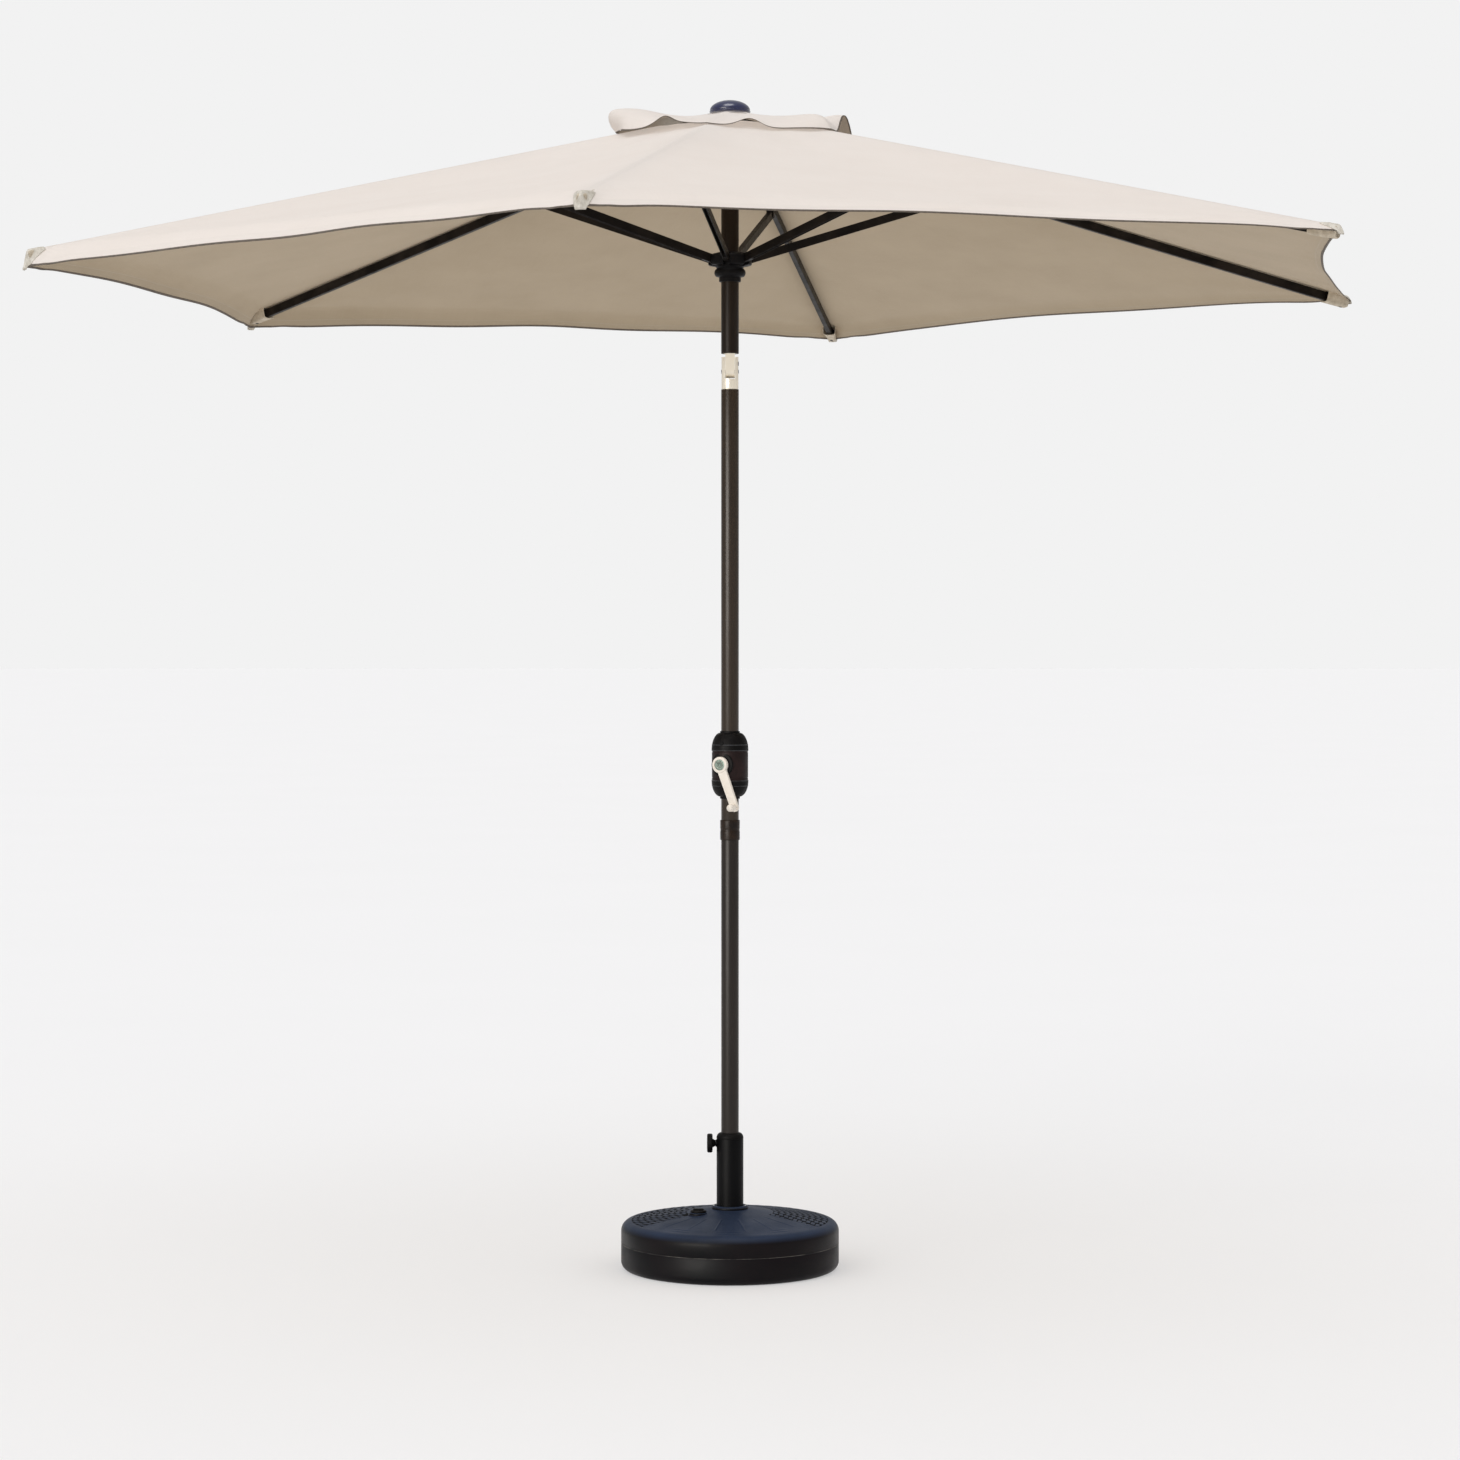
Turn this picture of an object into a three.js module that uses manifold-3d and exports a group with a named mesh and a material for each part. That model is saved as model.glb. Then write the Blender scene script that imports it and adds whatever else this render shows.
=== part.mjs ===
// A patio umbrella standing in a round fillable base: crank lift, tilting head, six ribs, vent cap.
// Millimetres, +Z up, origin at the centre of the base's underside.
import * as THREE from 'three';
import { mergeVertices } from 'three/addons/utils/BufferGeometryUtils.js';
import Module from 'manifold-3d';

const wasm = await Module();
wasm.setup();

// Driving dimensions
const ribCount = 6;
const firstRibAzimuth = -160; // degrees, the other ribs follow every 60
const gap = 0.4; // clearance between neighbouring pieces

const poleRadius = 19;
const poleWall = 1.5;
const mastSides = 28;

const baseRadius = 235.5;
const baseRimHeight = 105;
const baseTopHeight = 130;
const baseWall = 4;
const fillerPlace = [-68, -42];
const socketRadius = 29;
const socketWall = 3;
const socketTop = 283;
const knobHeight = 271.5;

const jointHeight = 950; // where the lower and middle poles meet
const crankHeight = 1091;
const crankTurn = 27; // degrees the crank shaft points to the left of straight ahead
const crankReach = 97.4;
const crankLean = 20.9; // degrees the crank arm hangs off plumb
const housingRadius = 39;
const tiltHeight = 1936.5;
const middlePoleTop = 1898;
const upperPoleFoot = 1975;
const upperPoleTop = 2450;

const pivotRadius = 42; // of the rib roots at the hub and of the strut feet at the runner
const ribPivotHeight = 2470;
const ribSlope = 13.1; // degrees below level
const ribWidth = 12;
const ribDepth = 20;
const ribWall = 1.5;
const ribLength = 1490;
const ribEnd = 1497; // pivot to the end of the tip cap
const strutReach = 511; // along the rib to the strut joint
const strutDrop = 22; // strut joint below the rib's middle
const strutWidth = 11.2;
const strutRadius = 9;
const runnerHeight = 2177.8;

const canopyLift = 12.4; // underside of the cloth above the rib's middle
const canopyThickness = 2.6;
const canopyInner = 170;
const canopyOuter = 1476;
const hemHollow = 38; // how far each hem bows in at its middle
const canopySag = 16;
const ventOuter = 265;
const ventArch = 14;
const finialFoot = 2490.5;

const cordRadius = 1.5;
const cordAzimuth = 110; // degrees, the side of the mast the lifting cord runs on
const cordInner = 8.5;
const cordOuter = 24.5;

const degrees = Math.PI / 180;
const whole = new THREE.Group();

// Colours and finishes
const finishes = {
  basePlastic: { color: 0x1d212b, roughness: 0.55, metalness: 0 },
  blackPlastic: { color: 0x131314, roughness: 0.5, metalness: 0 },
  fill: { color: 0x9c8f78, roughness: 0.9, metalness: 0 },
  bronzeMetal: { color: 0x2a241f, roughness: 0.42, metalness: 0.3 },
  blackMetal: { color: 0x18181a, roughness: 0.45, metalness: 0.3 },
  aluminium: { color: 0xc9c6bf, roughness: 0.35, metalness: 0.9 },
  crankSilver: { color: 0xd9d3c6, roughness: 0.4, metalness: 0.3 },
  steel: { color: 0x8e8f90, roughness: 0.4, metalness: 0.9 },
  canopyCloth: { color: 0xe6ddd2, roughness: 0.9, metalness: 0 },
  finialGloss: { color: 0x11151f, roughness: 0.22, metalness: 0 },
  cord: { color: 0x1a1a1a, roughness: 0.85, metalness: 0 },
};

// Welds a geometry, drops slivers with no area and turns it outward.
function weld(geometry) {
  const bare = geometry.clone();
  bare.deleteAttribute('normal');
  bare.deleteAttribute('uv');
  const merged = mergeVertices(bare, 1e-4);
  const old = merged.index.array;
  const kept = [];
  for (let i = 0; i < old.length; i += 3) {
    const [a, b, c] = [old[i], old[i + 1], old[i + 2]];
    if (a !== b && b !== c && c !== a) kept.push(a, b, c);
  }
  const p = merged.attributes.position;
  const corner = (n) => new THREE.Vector3().fromBufferAttribute(p, n);
  let volume = 0;
  for (let i = 0; i < kept.length; i += 3) {
    volume += corner(kept[i]).dot(corner(kept[i + 1]).cross(corner(kept[i + 2])));
  }
  if (volume < 0) kept.reverse();
  merged.setIndex(kept);
  return merged;
}

function solidOf(geometry) {
  const welded = weld(geometry);
  const vertProperties = new Float32Array(welded.attributes.position.array);
  const triVerts = new Uint32Array(welded.index.array);
  return new wasm.Manifold(new wasm.Mesh({ numProp: 3, vertProperties, triVerts }));
}

function geometryOf(solid) {
  const { vertProperties, triVerts } = solid.getMesh();
  const geometry = new THREE.BufferGeometry();
  geometry.setAttribute('position', new THREE.BufferAttribute(vertProperties, 3));
  geometry.setIndex(new THREE.BufferAttribute(triVerts, 1));
  geometry.computeVertexNormals();
  return geometry;
}

// Adds then cuts: every entry is a geometry.
function carve(body, { join = [], cut = [] }) {
  let solid = solidOf(body);
  for (const piece of join) solid = solid.add(solidOf(piece));
  for (const piece of cut) solid = solid.subtract(solidOf(piece));
  return geometryOf(solid);
}

// A profile of [radius, height] pairs turned about +Z.
function turned(profile, sides = mastSides) {
  const points = profile.map(([r, z]) => new THREE.Vector2(r, z));
  return new THREE.LatheGeometry(points, sides).rotateX(Math.PI / 2);
}

// A closed ring between two radii.
function ring(inner, outer, low, high, sides = mastSides) {
  return turned([[inner, low], [outer, low], [outer, high], [inner, high], [inner, low]], sides);
}

function disc(radius, low, high, sides = mastSides) {
  return turned([[0, low], [radius, low], [radius, high], [0, high]], sides);
}

function block(low, high) {
  const size = high.map((value, i) => value - low[i]);
  const middle = high.map((value, i) => (value + low[i]) / 2);
  return new THREE.BoxGeometry(...size).translate(...middle);
}

// Points of an arc, from one angle to another in degrees.
function arc(centre, radii, from, to, steps) {
  const points = [];
  for (let i = 0; i <= steps; i++) {
    const angle = (from + ((to - from) * i) / steps) * degrees;
    points.push([centre[0] + radii[0] * Math.cos(angle), centre[1] + radii[1] * Math.sin(angle)]);
  }
  return points;
}

// A flat outline in X (outward) and Z (up), given its width along Y.
function plate(outline, width, holes = [], middle = 0) {
  const shape = new THREE.Shape(outline.map(([x, z]) => new THREE.Vector2(x, z)));
  for (const hole of holes) shape.holes.push(new THREE.Path(hole.map(([x, z]) => new THREE.Vector2(x, z))));
  const solid = new THREE.ExtrudeGeometry(shape, { depth: width, bevelEnabled: false, curveSegments: 8 });
  return solid.translate(0, 0, -width / 2 - middle).rotateX(Math.PI / 2);
}

function circle(centre, radius, steps) {
  return arc(centre, [radius, radius], 0, 360 - 360 / steps, steps - 1);
}

// A round cord of six sides along hand-placed points.
function cord(points) {
  const route = new THREE.CatmullRomCurve3(points.map((p) => new THREE.Vector3(...p)), false, 'centripetal');
  const section = new THREE.Shape(circle([0, 0], cordRadius, 6).map(([x, y]) => new THREE.Vector2(x, y)));
  const steps = points.length * 2;
  return new THREE.ExtrudeGeometry(section, { steps, bevelEnabled: false, extrudePath: route });
}

function add(name, geometry, finish, parent = whole) {
  const mesh = new THREE.Mesh(weld(geometry), new THREE.MeshStandardMaterial(finishes[finish]));
  mesh.name = name;
  parent.add(mesh);
  return mesh;
}

// Base: a hollow tank with its fill, the socket tube, its foot ring, reducer and clamp knob
function buildBase() {
  const bottomRound = arc([baseRadius - 18, 18], [18, 18], -90, 0, 3);
  const shoulder = arc([baseRadius - 22, baseRimHeight - 22], [22, 22], 0, 82, 3);
  const outside = [[0, 0], ...bottomRound, ...shoulder, [42, baseTopHeight], [0, baseTopHeight]];
  const inside = [
    [33.5, baseWall],
    [baseRadius - 19, baseWall],
    [baseRadius - baseWall, 19],
    [baseRadius - baseWall, 84],
    [baseRadius - 20, baseRimHeight - 5],
    [42, baseTopHeight - 5],
    [33.5, baseTopHeight - 5],
    [33.5, baseWall],
  ];
  const [x, y] = fillerPlace;
  const boss = disc(19, 112, 127, 24).translate(x, y, 0);
  const neck = disc(14, 100, 140, 24).translate(x, y, 0);
  const well = disc(socketRadius + gap, 8, 140);
  const tank = carve(turned(outside, 36), { join: [boss], cut: [turned(inside, 36), neck, well] });
  add('base_tank', tank, 'basePlastic');

  const fillTop = 98;
  const fill = [
    [34.5, 5],
    [baseRadius - 21, 5],
    [baseRadius - 6, 20],
    [baseRadius - 6, 83],
    [baseRadius - 21, fillTop],
    [34.5, fillTop],
    [34.5, 5],
  ];
  add('ballast', turned(fill, 24), 'fill');

  const plug = [[0, 114], [13.5, 114], [13.5, 127.4], [17, 127.4], [17, 130.5], [15.5, 132], [0, 132]];
  const grip = block([-12, -2.5, 131], [12, 2.5, 136]);
  const cap = add('filler_cap', carve(turned(plug, 24), { join: [grip] }), 'blackPlastic');
  cap.position.set(x, y, 0);

  const screwHole = disc(4.4, -60, -10, 16).rotateY(Math.PI / 2).translate(0, 0, knobHeight);
  const inner = socketRadius - socketWall;
  const tube = carve(ring(inner, socketRadius, 8 + gap, socketTop), { cut: [screwHole] });
  add('socket_tube', tube, 'blackMetal');
  const foot = [[29.5, 130.4], [39.5, 130.4], [39.5, 134], [37, 137], [29.5, 137], [29.5, 130.4]];
  add('socket_collar', turned(foot), 'basePlastic');

  const bore = poleRadius + 0.5;
  const cheek = arc([socketRadius - 9, socketTop + gap], [9, 11], 0, 90, 3);
  const bush = [[bore, 252], [inner - gap, 252], [inner - gap, socketTop + gap], ...cheek];
  bush.push([bore, socketTop + 11 + gap], [bore, 252]);
  add('reducer_bush', carve(turned(bush), { cut: [screwHole] }), 'blackPlastic');

  const tip = -(poleRadius + 0.7);
  const knobProfile = [[0, -tip], [4, -tip], [4, 29.6], [5.5, 30], [9.5, 37.2], [17.5, 37.6]];
  knobProfile.push(...arc([16.5, 43.7], [4, 6], -60, 60, 3), [12, 49.4], [0, 48.5]);
  const knob = turned(knobProfile, 24).rotateY(-Math.PI / 2);
  add('clamp_knob', knob, 'blackPlastic').position.z = knobHeight;
}

// Mast: three poles, the sleeve and collar at their joint
function buildMast() {
  const inner = poleRadius - poleWall;
  const shaftHole = disc(5.6, 0, 40, 16)
    .rotateX(Math.PI / 2)
    .rotateZ(-crankTurn * degrees)
    .translate(0, 0, crankHeight);
  add('lower_pole', ring(inner, poleRadius, 8 + gap, jointHeight), 'bronzeMetal');
  const middle = ring(inner, poleRadius, jointHeight + gap, middlePoleTop);
  add('middle_pole', carve(middle, { cut: [shaftHole] }), 'bronzeMetal');
  add('upper_pole', ring(inner, poleRadius, upperPoleFoot, upperPoleTop), 'bronzeMetal');
  add('joint_sleeve', ring(inner - 1.8, inner - 0.3, 885, 1015, 24), 'steel');
  const collar = [[19.3, 928], [20.4, 928], [21.2, 930], [21.2, 969], [20.4, 971], [19.3, 971], [19.3, 928]];
  add('pole_collar', turned(collar), 'bronzeMetal');
}

// Crank: a two-part housing around the mast, the spool with its shaft, the arm and its grip
function buildCrank() {
  const waist = poleRadius + 2;
  const rise = housingRadius - waist;
  const low = arc([waist, crankHeight - 31], [rise, 37.5], -90, 0, 4);
  const high = arc([waist, crankHeight + 29], [rise, 37.5], 0, 90, 4);
  const bore = poleRadius + gap;
  const [foot, head] = [low[0][1], high[4][1]];
  const shell = turned([[bore, foot], ...low, ...high, [bore, head], [bore, foot]]);
  const forward = (solid) => solid.rotateX(Math.PI / 2).translate(0, 0, crankHeight);
  const boss = forward(disc(18, 24, 40.3, 24));
  const shaftBore = forward(disc(7, 0, 60, 24));
  const clearing = disc(bore, 900, 1300);
  const body = carve(shell, { join: [boss], cut: [shaftBore, clearing] });
  const halves = { housing_left: [-100, -gap / 2], housing_right: [gap / 2, 100] };
  for (const [name, [from, to]] of Object.entries(halves)) {
    const side = solidOf(block([from, -100, 900], [to, 100, 1300]));
    const half = geometryOf(solidOf(body).intersect(side));
    add(name, half, 'blackPlastic').rotation.z = -crankTurn * degrees;
  }

  // from here on, the shaft is local Z and up is local Y
  const swing = new THREE.Group();
  swing.rotation.z = -crankTurn * degrees;
  swing.position.z = crankHeight;
  const facing = new THREE.Group();
  facing.rotation.x = Math.PI / 2;
  swing.add(facing);
  whole.add(swing);

  const spool = [[0, -12], [11, -12], [11, -10], [7, -9], [7, 9], [11, 10], [11, 12], [5, 12.5], [5, 48], [0, 48]];
  add('crank_spool', turned(spool, 20), 'steel', facing);

  const [dx, dy] = [Math.sin(crankLean * degrees), -Math.cos(crankLean * degrees)];
  const place = [crankReach * dx, crankReach * dy];
  const lean = Math.atan2(dy, dx) / degrees;
  const side = [-dy, dx];
  const at = (along, across) => [along * dx + across * side[0], along * dy + across * side[1]];
  const outline = [at(0, 10), at(0, -10), ...arc(place, [8.6, 8.6], lean - 90, lean + 90, 6)];
  const shape = new THREE.Shape(outline.map(([x, y]) => new THREE.Vector2(x, y)));
  const bar = new THREE.ExtrudeGeometry(shape, { depth: 7, bevelEnabled: false }).translate(0, 0, 42.4);
  const hub = turned([[0, 41], [15.5, 41], [17.5, 43], [17.5, 49.5], [15.8, 51.2], [0, 51.2]], 28);
  const cuts = [disc(5.4, 30, 48.5, 16), disc(11.8, 49.4, 60, 24)];
  cuts.push(disc(4.2, 30, 60, 16).translate(...place, 0));
  add('crank_arm', carve(hub, { join: [bar], cut: cuts }), 'crankSilver', facing);

  const gripProfile = [[0, 42.6], [3.8, 42.6], [3.8, 49.8], [7, 49.8], [8.2, 53], [7.4, 62]];
  gripProfile.push(...arc([0, 68], [8, 5], 0, 90, 3));
  add('crank_grip', turned(gripProfile, 16), 'crankSilver', facing).position.set(...place, 0);
}

// Tilt: a clevis below, a tongue above, the cross pin and the release button
function buildTilt() {
  const inner = poleRadius - poleWall;
  const across = (radius, from, to, height) =>
    disc(radius, from, to, 20).rotateY(Math.PI / 2).translate(0, 0, height);
  const clevis = turned([
    [0, middlePoleTop - 48],
    [inner - 0.3, middlePoleTop - 48],
    [inner - 0.3, middlePoleTop + gap],
    [18, middlePoleTop + gap],
    [18, tiltHeight + 34],
    [0, tiltHeight + 34],
  ]);
  const slot = block([-10.6, -30, middlePoleTop + 3], [10.6, 30, 2100]);
  const bore = disc(12, 1800, tiltHeight, 20);
  const crown = solidOf(across(31.5, -40, 40, tiltHeight));
  const rest = solidOf(block([-40, -40, 1800], [40, 40, tiltHeight]));
  const rounded = geometryOf(solidOf(clevis).intersect(crown.add(rest)));
  const buttonHole = across(5.4, 5, 30, tiltHeight + 17);
  const cuts = [slot, bore, across(4.3, -40, 40, tiltHeight), buttonHole];
  add('tilt_clevis', carve(rounded, { cut: cuts }), 'aluminium');

  const half = 13.5;
  const top = upperPoleFoot + 45;
  const profile = [...arc([0, tiltHeight], [half, half], 180, 360, 8), [half, top], [-half, top]];
  const tongue = plate(profile, 20.4).rotateZ(Math.PI / 2);
  const plug = disc(inner - 0.3, upperPoleFoot + 1, top - 5);
  const [cx, cy] = cordPlace(cordInner);
  const cordBore = disc(2.6, 1900, 2100, 12).translate(cx, cy, 0);
  const tongueCuts = [cordBore, across(4.3, -40, 40, tiltHeight)];
  add('tilt_tongue', carve(tongue, { join: [plug], cut: tongueCuts }), 'aluminium');

  const pin = [[0, -18.8], [4.1, -18.8], [4.6, -18.4], [4.6, -18.15], [4, -18.1], [4, 18.1], [4.6, 18.15]];
  pin.push([4.6, 18.4], [4.1, 18.8], [0, 18.8]);
  add('tilt_pin', turned(pin, 16).rotateY(Math.PI / 2), 'steel').position.z = tiltHeight;
  const button = [[0, 13.5], [5, 13.5], [5, 18], [4.2, 18.6], [0, 18.8]];
  add('tilt_button', turned(button, 16).rotateY(Math.PI / 2), 'blackPlastic').position.z = tiltHeight + 17;
}

function cordPlace(distance) {
  return [distance * Math.cos(cordAzimuth * degrees), distance * Math.sin(cordAzimuth * degrees)];
}

function ribAzimuth(number) {
  return (firstRibAzimuth + (360 / ribCount) * number) * degrees;
}

// Head: the slotted hub with its rib pins, and the finial
function buildHead() {
  const z = ribPivotHeight;
  const profile = [
    [0, upperPoleTop + 2],
    [poleRadius + 0.4, upperPoleTop + 2],
    [poleRadius + 0.4, upperPoleTop - 20],
    [28, upperPoleTop - 20],
    [31, upperPoleTop - 16],
    [31, z - 13],
    [50, z - 13],
    [50, z + 4],
    [31, z + 6],
    [29, z + 14],
    [0, z + 14],
  ];
  const join = [];
  const cut = [disc(4.4, finialFoot - 17, 2600, 12)];
  const cordSlot = block([cordInner - 2.2, -2, 2400], [cordOuter + 2.2, 2, z - 4]);
  cut.push(cordSlot.rotateZ(cordAzimuth * degrees));
  const slots = [];
  for (let i = 0; i < ribCount; i++) {
    slots.push(block([31.4, -6.6, 2400], [70, 6.6, 2600]).rotateZ(ribAzimuth(i)));
    const pin = disc(3, -7.6, 7.6, 10).rotateX(Math.PI / 2).translate(pivotRadius, 0, z);
    join.push(pin.rotateZ(ribAzimuth(i)));
  }
  const slotted = carve(turned(profile), { cut: slots });
  add('top_hub', carve(slotted, { join, cut }), 'blackPlastic');

  const dome = [[0, finialFoot - 15], [4, finialFoot - 15], [4, finialFoot], [40, finialFoot], [44, finialFoot + 3]];
  dome.push(...arc([0, finialFoot + 5.5], [44, 22], 0, 90, 5));
  add('finial', turned(dome, 24), 'finialGloss');
}

// Runner: slides on the mast and carries the strut feet in its slots
function buildRunner() {
  const z = runnerHeight;
  const bore = poleRadius + 0.7;
  const bead = arc([28, z - 29.5], [5.4, 8.5], -70, 70, 4);
  const profile = [
    [bore, z - 49],
    [22.5, z - 49],
    [23.5, z - 46],
    [23.5, z - 39],
    ...bead,
    [29, z - 19],
    [31, z - 16],
    [46, z - 13],
    [47, z + 6],
    [44, z + 9],
    [31, z + 10],
    [28, z + 14],
    [bore, z + 14],
    [bore, z - 49],
  ];
  const slots = [];
  for (let i = 0; i < ribCount; i++) {
    slots.push(block([31.4, -6.8, z - 18], [70, 6.8, z + 40]).rotateZ(ribAzimuth(i)));
  }
  add('runner', carve(turned(profile), { cut: slots }), 'blackPlastic');
}

// One rib with its strut brackets and pin, its tip cap, and its strut, in the rib's own plane
function buildRib(number, plane) {
  const half = ribDepth / 2;
  const bar = [...arc([0, 0], [half, half], 90, 270, 6), [ribLength, -half], [ribLength, half]];
  const body = plate(bar, ribWidth, [circle([0, 0], 3.4, 10)]);
  const hollow = block([26, -ribWidth / 2 + ribWall, -half + ribWall], [1600, ribWidth / 2 - ribWall, half - ribWall]);
  const lug = [[strutReach - 18, 8], ...arc([strutReach, -strutDrop], [9, 9], 190, 350, 5), [strutReach + 18, 8]];
  const lugs = [plate(lug, 2.5, [], 7.15), plate(lug, 2.5, [], -7.15)];
  const pin = disc(2.5, -7, 7, 10).rotateX(Math.PI / 2).translate(strutReach, 0, -strutDrop);
  const rib = add(`rib_${number}`, carve(carve(body, { cut: [hollow] }), { join: [...lugs, pin] }), 'bronzeMetal', plane);

  const start = ribLength - 14;
  const capOutline = [[start, -11.4], ...arc([ribEnd - 6, 0], [6, 11.4], -90, 90, 4), [start, 11.4]];
  const pocket = block([start - 5, -6.3, -half - 0.3], [ribLength + 0.4, 6.3, half + 0.3]);
  const cap = add(`rib_tip_${number}`, carve(plate(capOutline, 15.6), { cut: [pocket] }), 'blackPlastic', plane);
  for (const mesh of [rib, cap]) {
    mesh.position.set(pivotRadius, 0, ribPivotHeight);
    mesh.rotation.y = ribSlope * degrees;
  }

  const slope = ribSlope * degrees;
  const jointX = pivotRadius + strutReach * Math.cos(slope) - strutDrop * Math.sin(slope);
  const jointZ = ribPivotHeight - strutReach * Math.sin(slope) - strutDrop * Math.cos(slope);
  const length = Math.hypot(jointX - pivotRadius, jointZ - runnerHeight);
  const ends = [...arc([0, 0], [strutRadius, strutRadius], 90, 270, 5)];
  ends.push(...arc([length, 0], [strutRadius, strutRadius], -90, 90, 5));
  const strut = plate(ends, strutWidth, [circle([0, 0], 2.9, 8), circle([length, 0], 2.9, 8)]);
  const mesh = add(`strut_${number}`, strut, 'bronzeMetal', plane);
  mesh.position.set(pivotRadius, 0, runnerHeight);
  mesh.rotation.y = -Math.atan2(jointZ - runnerHeight, jointX - pivotRadius);
}

// A thin closed skin from a grid of underside points, thickened upward
function skin(grid, thickness) {
  const rows = grid.length;
  const columns = grid[0].length;
  const flat = grid.flat();
  const positions = [...flat, ...flat.map(([x, y, z]) => [x, y, z + thickness])].flat();
  const under = (i, j) => i * columns + j;
  const over = (i, j) => under(i, j) + rows * columns;
  const faces = [];
  const quad = (a, b, c, d) => faces.push(a, b, c, a, c, d);
  for (let i = 0; i < rows - 1; i++) {
    for (let j = 0; j < columns - 1; j++) {
      quad(under(i, j), under(i, j + 1), under(i + 1, j + 1), under(i + 1, j));
      quad(over(i, j), over(i + 1, j), over(i + 1, j + 1), over(i, j + 1));
    }
    quad(under(i, 0), under(i + 1, 0), over(i + 1, 0), over(i, 0));
    quad(under(i + 1, columns - 1), under(i, columns - 1), over(i, columns - 1), over(i + 1, columns - 1));
  }
  for (let j = 0; j < columns - 1; j++) {
    quad(under(0, j + 1), under(0, j), over(0, j), over(0, j + 1));
    quad(under(rows - 1, j), under(rows - 1, j + 1), over(rows - 1, j + 1), over(rows - 1, j));
  }
  const geometry = new THREE.BufferGeometry();
  geometry.setAttribute('position', new THREE.Float32BufferAttribute(positions, 3));
  geometry.setIndex(faces);
  return geometry;
}

// Grid over one gore: from the rib (0) half way to each neighbouring rib (1), between two rings
function goreGrid(rows, halfColumns, inner, outer, height) {
  const grid = [];
  for (let i = 0; i <= rows; i++) {
    const line = [];
    for (let j = -halfColumns; j <= halfColumns; j++) {
      const across = j / halfColumns;
      const away = Math.abs(across);
      const reach = inner + ((outer(away) - inner) * i) / rows;
      const x = reach * (1 - away / 4) + 0.1 * away;
      const y = reach * (Math.sqrt(3) / 4) * across - 0.2 * Math.sign(across) * away;
      line.push([x, y, height(reach, away)]);
    }
    grid.push(line);
  }
  return grid;
}

function ribLine(reach) {
  const slope = ribSlope * degrees;
  return ribPivotHeight + canopyLift / Math.cos(slope) - (reach - pivotRadius) * Math.tan(slope);
}

// Cloth: one gore of the canopy and one of the vent cap over each rib
function buildCloth(number, plane) {
  const bow = (away) => away * (2 - away);
  const hem = (away) => canopyOuter - (hemHollow / Math.cos(Math.PI / 6)) * bow(away);
  const cloth = (reach, away) => {
    const share = (reach - canopyInner) / (canopyOuter - canopyInner);
    return ribLine(reach) - canopySag * Math.sin(Math.PI * share ** 0.8) * bow(away);
  };
  add(`canopy_gore_${number}`, skin(goreGrid(4, 3, canopyInner, hem, cloth), canopyThickness), 'canopyCloth', plane);

  const crown = finialFoot - 3;
  const foot = ribLine(ventOuter) + canopyThickness + 1.6;
  const vent = (reach, away) => {
    const share = Math.max(0, (reach - 44) / (ventOuter - 44));
    return crown + (foot - crown) * share + ventArch * share * bow(away);
  };
  const grid = goreGrid(3, 3, 10, () => ventOuter, vent);
  add(`vent_gore_${number}`, skin(grid, 2.4), 'canopyCloth', plane);
}

// Lifting cord: spool to tilt, tilt over the hub's saddle, and the drop to the runner
function buildCord() {
  const [cx, cy] = cordPlace(cordInner);
  const lower = [
    [-7.95, 4.05, crankHeight],
    [-7.6, 4.6, 1130],
    [-4.6, 7.1, 1300],
    [cx, cy, 1500],
    [cx, cy, tiltHeight - 13.8],
  ];
  add('lift_cord_lower', cord(lower), 'cord');
  const saddle = ribPivotHeight - 15;
  const bend = arc([(cordInner + cordOuter) / 2, saddle], [8, 8], 180, 0, 6);
  const upper = bend.map(([r, z]) => [...cordPlace(r), z]);
  upper.unshift([cx, cy, tiltHeight - 10.5], [cx, cy, saddle - 60]);
  add('lift_cord_upper', cord(upper), 'cord');
  const [ox, oy] = cordPlace(cordOuter);
  const drop = [[ox, oy, saddle - gap], [ox, oy, runnerHeight + 60], [ox, oy, runnerHeight + 14 + gap]];
  add('lift_cord_drop', cord(drop), 'cord');
}

buildBase();
buildMast();
buildCrank();
buildTilt();
buildHead();
buildRunner();
for (let i = 0; i < ribCount; i++) {
  const plane = new THREE.Group();
  plane.rotation.z = ribAzimuth(i);
  whole.add(plane);
  buildRib(i + 1, plane);
  buildCloth(i + 1, plane);
}
buildCord();

export default whole;
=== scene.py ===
import math

import bmesh
import bpy
import numpy as np
from mathutils import Matrix, Vector


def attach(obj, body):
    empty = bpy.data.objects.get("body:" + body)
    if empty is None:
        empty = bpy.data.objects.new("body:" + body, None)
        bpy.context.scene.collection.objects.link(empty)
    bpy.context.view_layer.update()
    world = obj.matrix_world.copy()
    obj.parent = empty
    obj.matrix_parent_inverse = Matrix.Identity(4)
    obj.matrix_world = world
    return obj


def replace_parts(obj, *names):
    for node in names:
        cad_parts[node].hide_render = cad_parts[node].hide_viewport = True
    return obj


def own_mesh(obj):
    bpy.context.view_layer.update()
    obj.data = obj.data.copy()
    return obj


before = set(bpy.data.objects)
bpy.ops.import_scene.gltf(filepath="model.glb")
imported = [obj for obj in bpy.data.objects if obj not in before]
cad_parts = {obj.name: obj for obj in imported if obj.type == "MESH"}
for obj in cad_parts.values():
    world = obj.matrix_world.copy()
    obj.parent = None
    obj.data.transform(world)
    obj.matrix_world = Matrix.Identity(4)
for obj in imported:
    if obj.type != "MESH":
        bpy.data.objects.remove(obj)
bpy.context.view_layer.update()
scene = bpy.context.scene
print("frame loaded")

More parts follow.
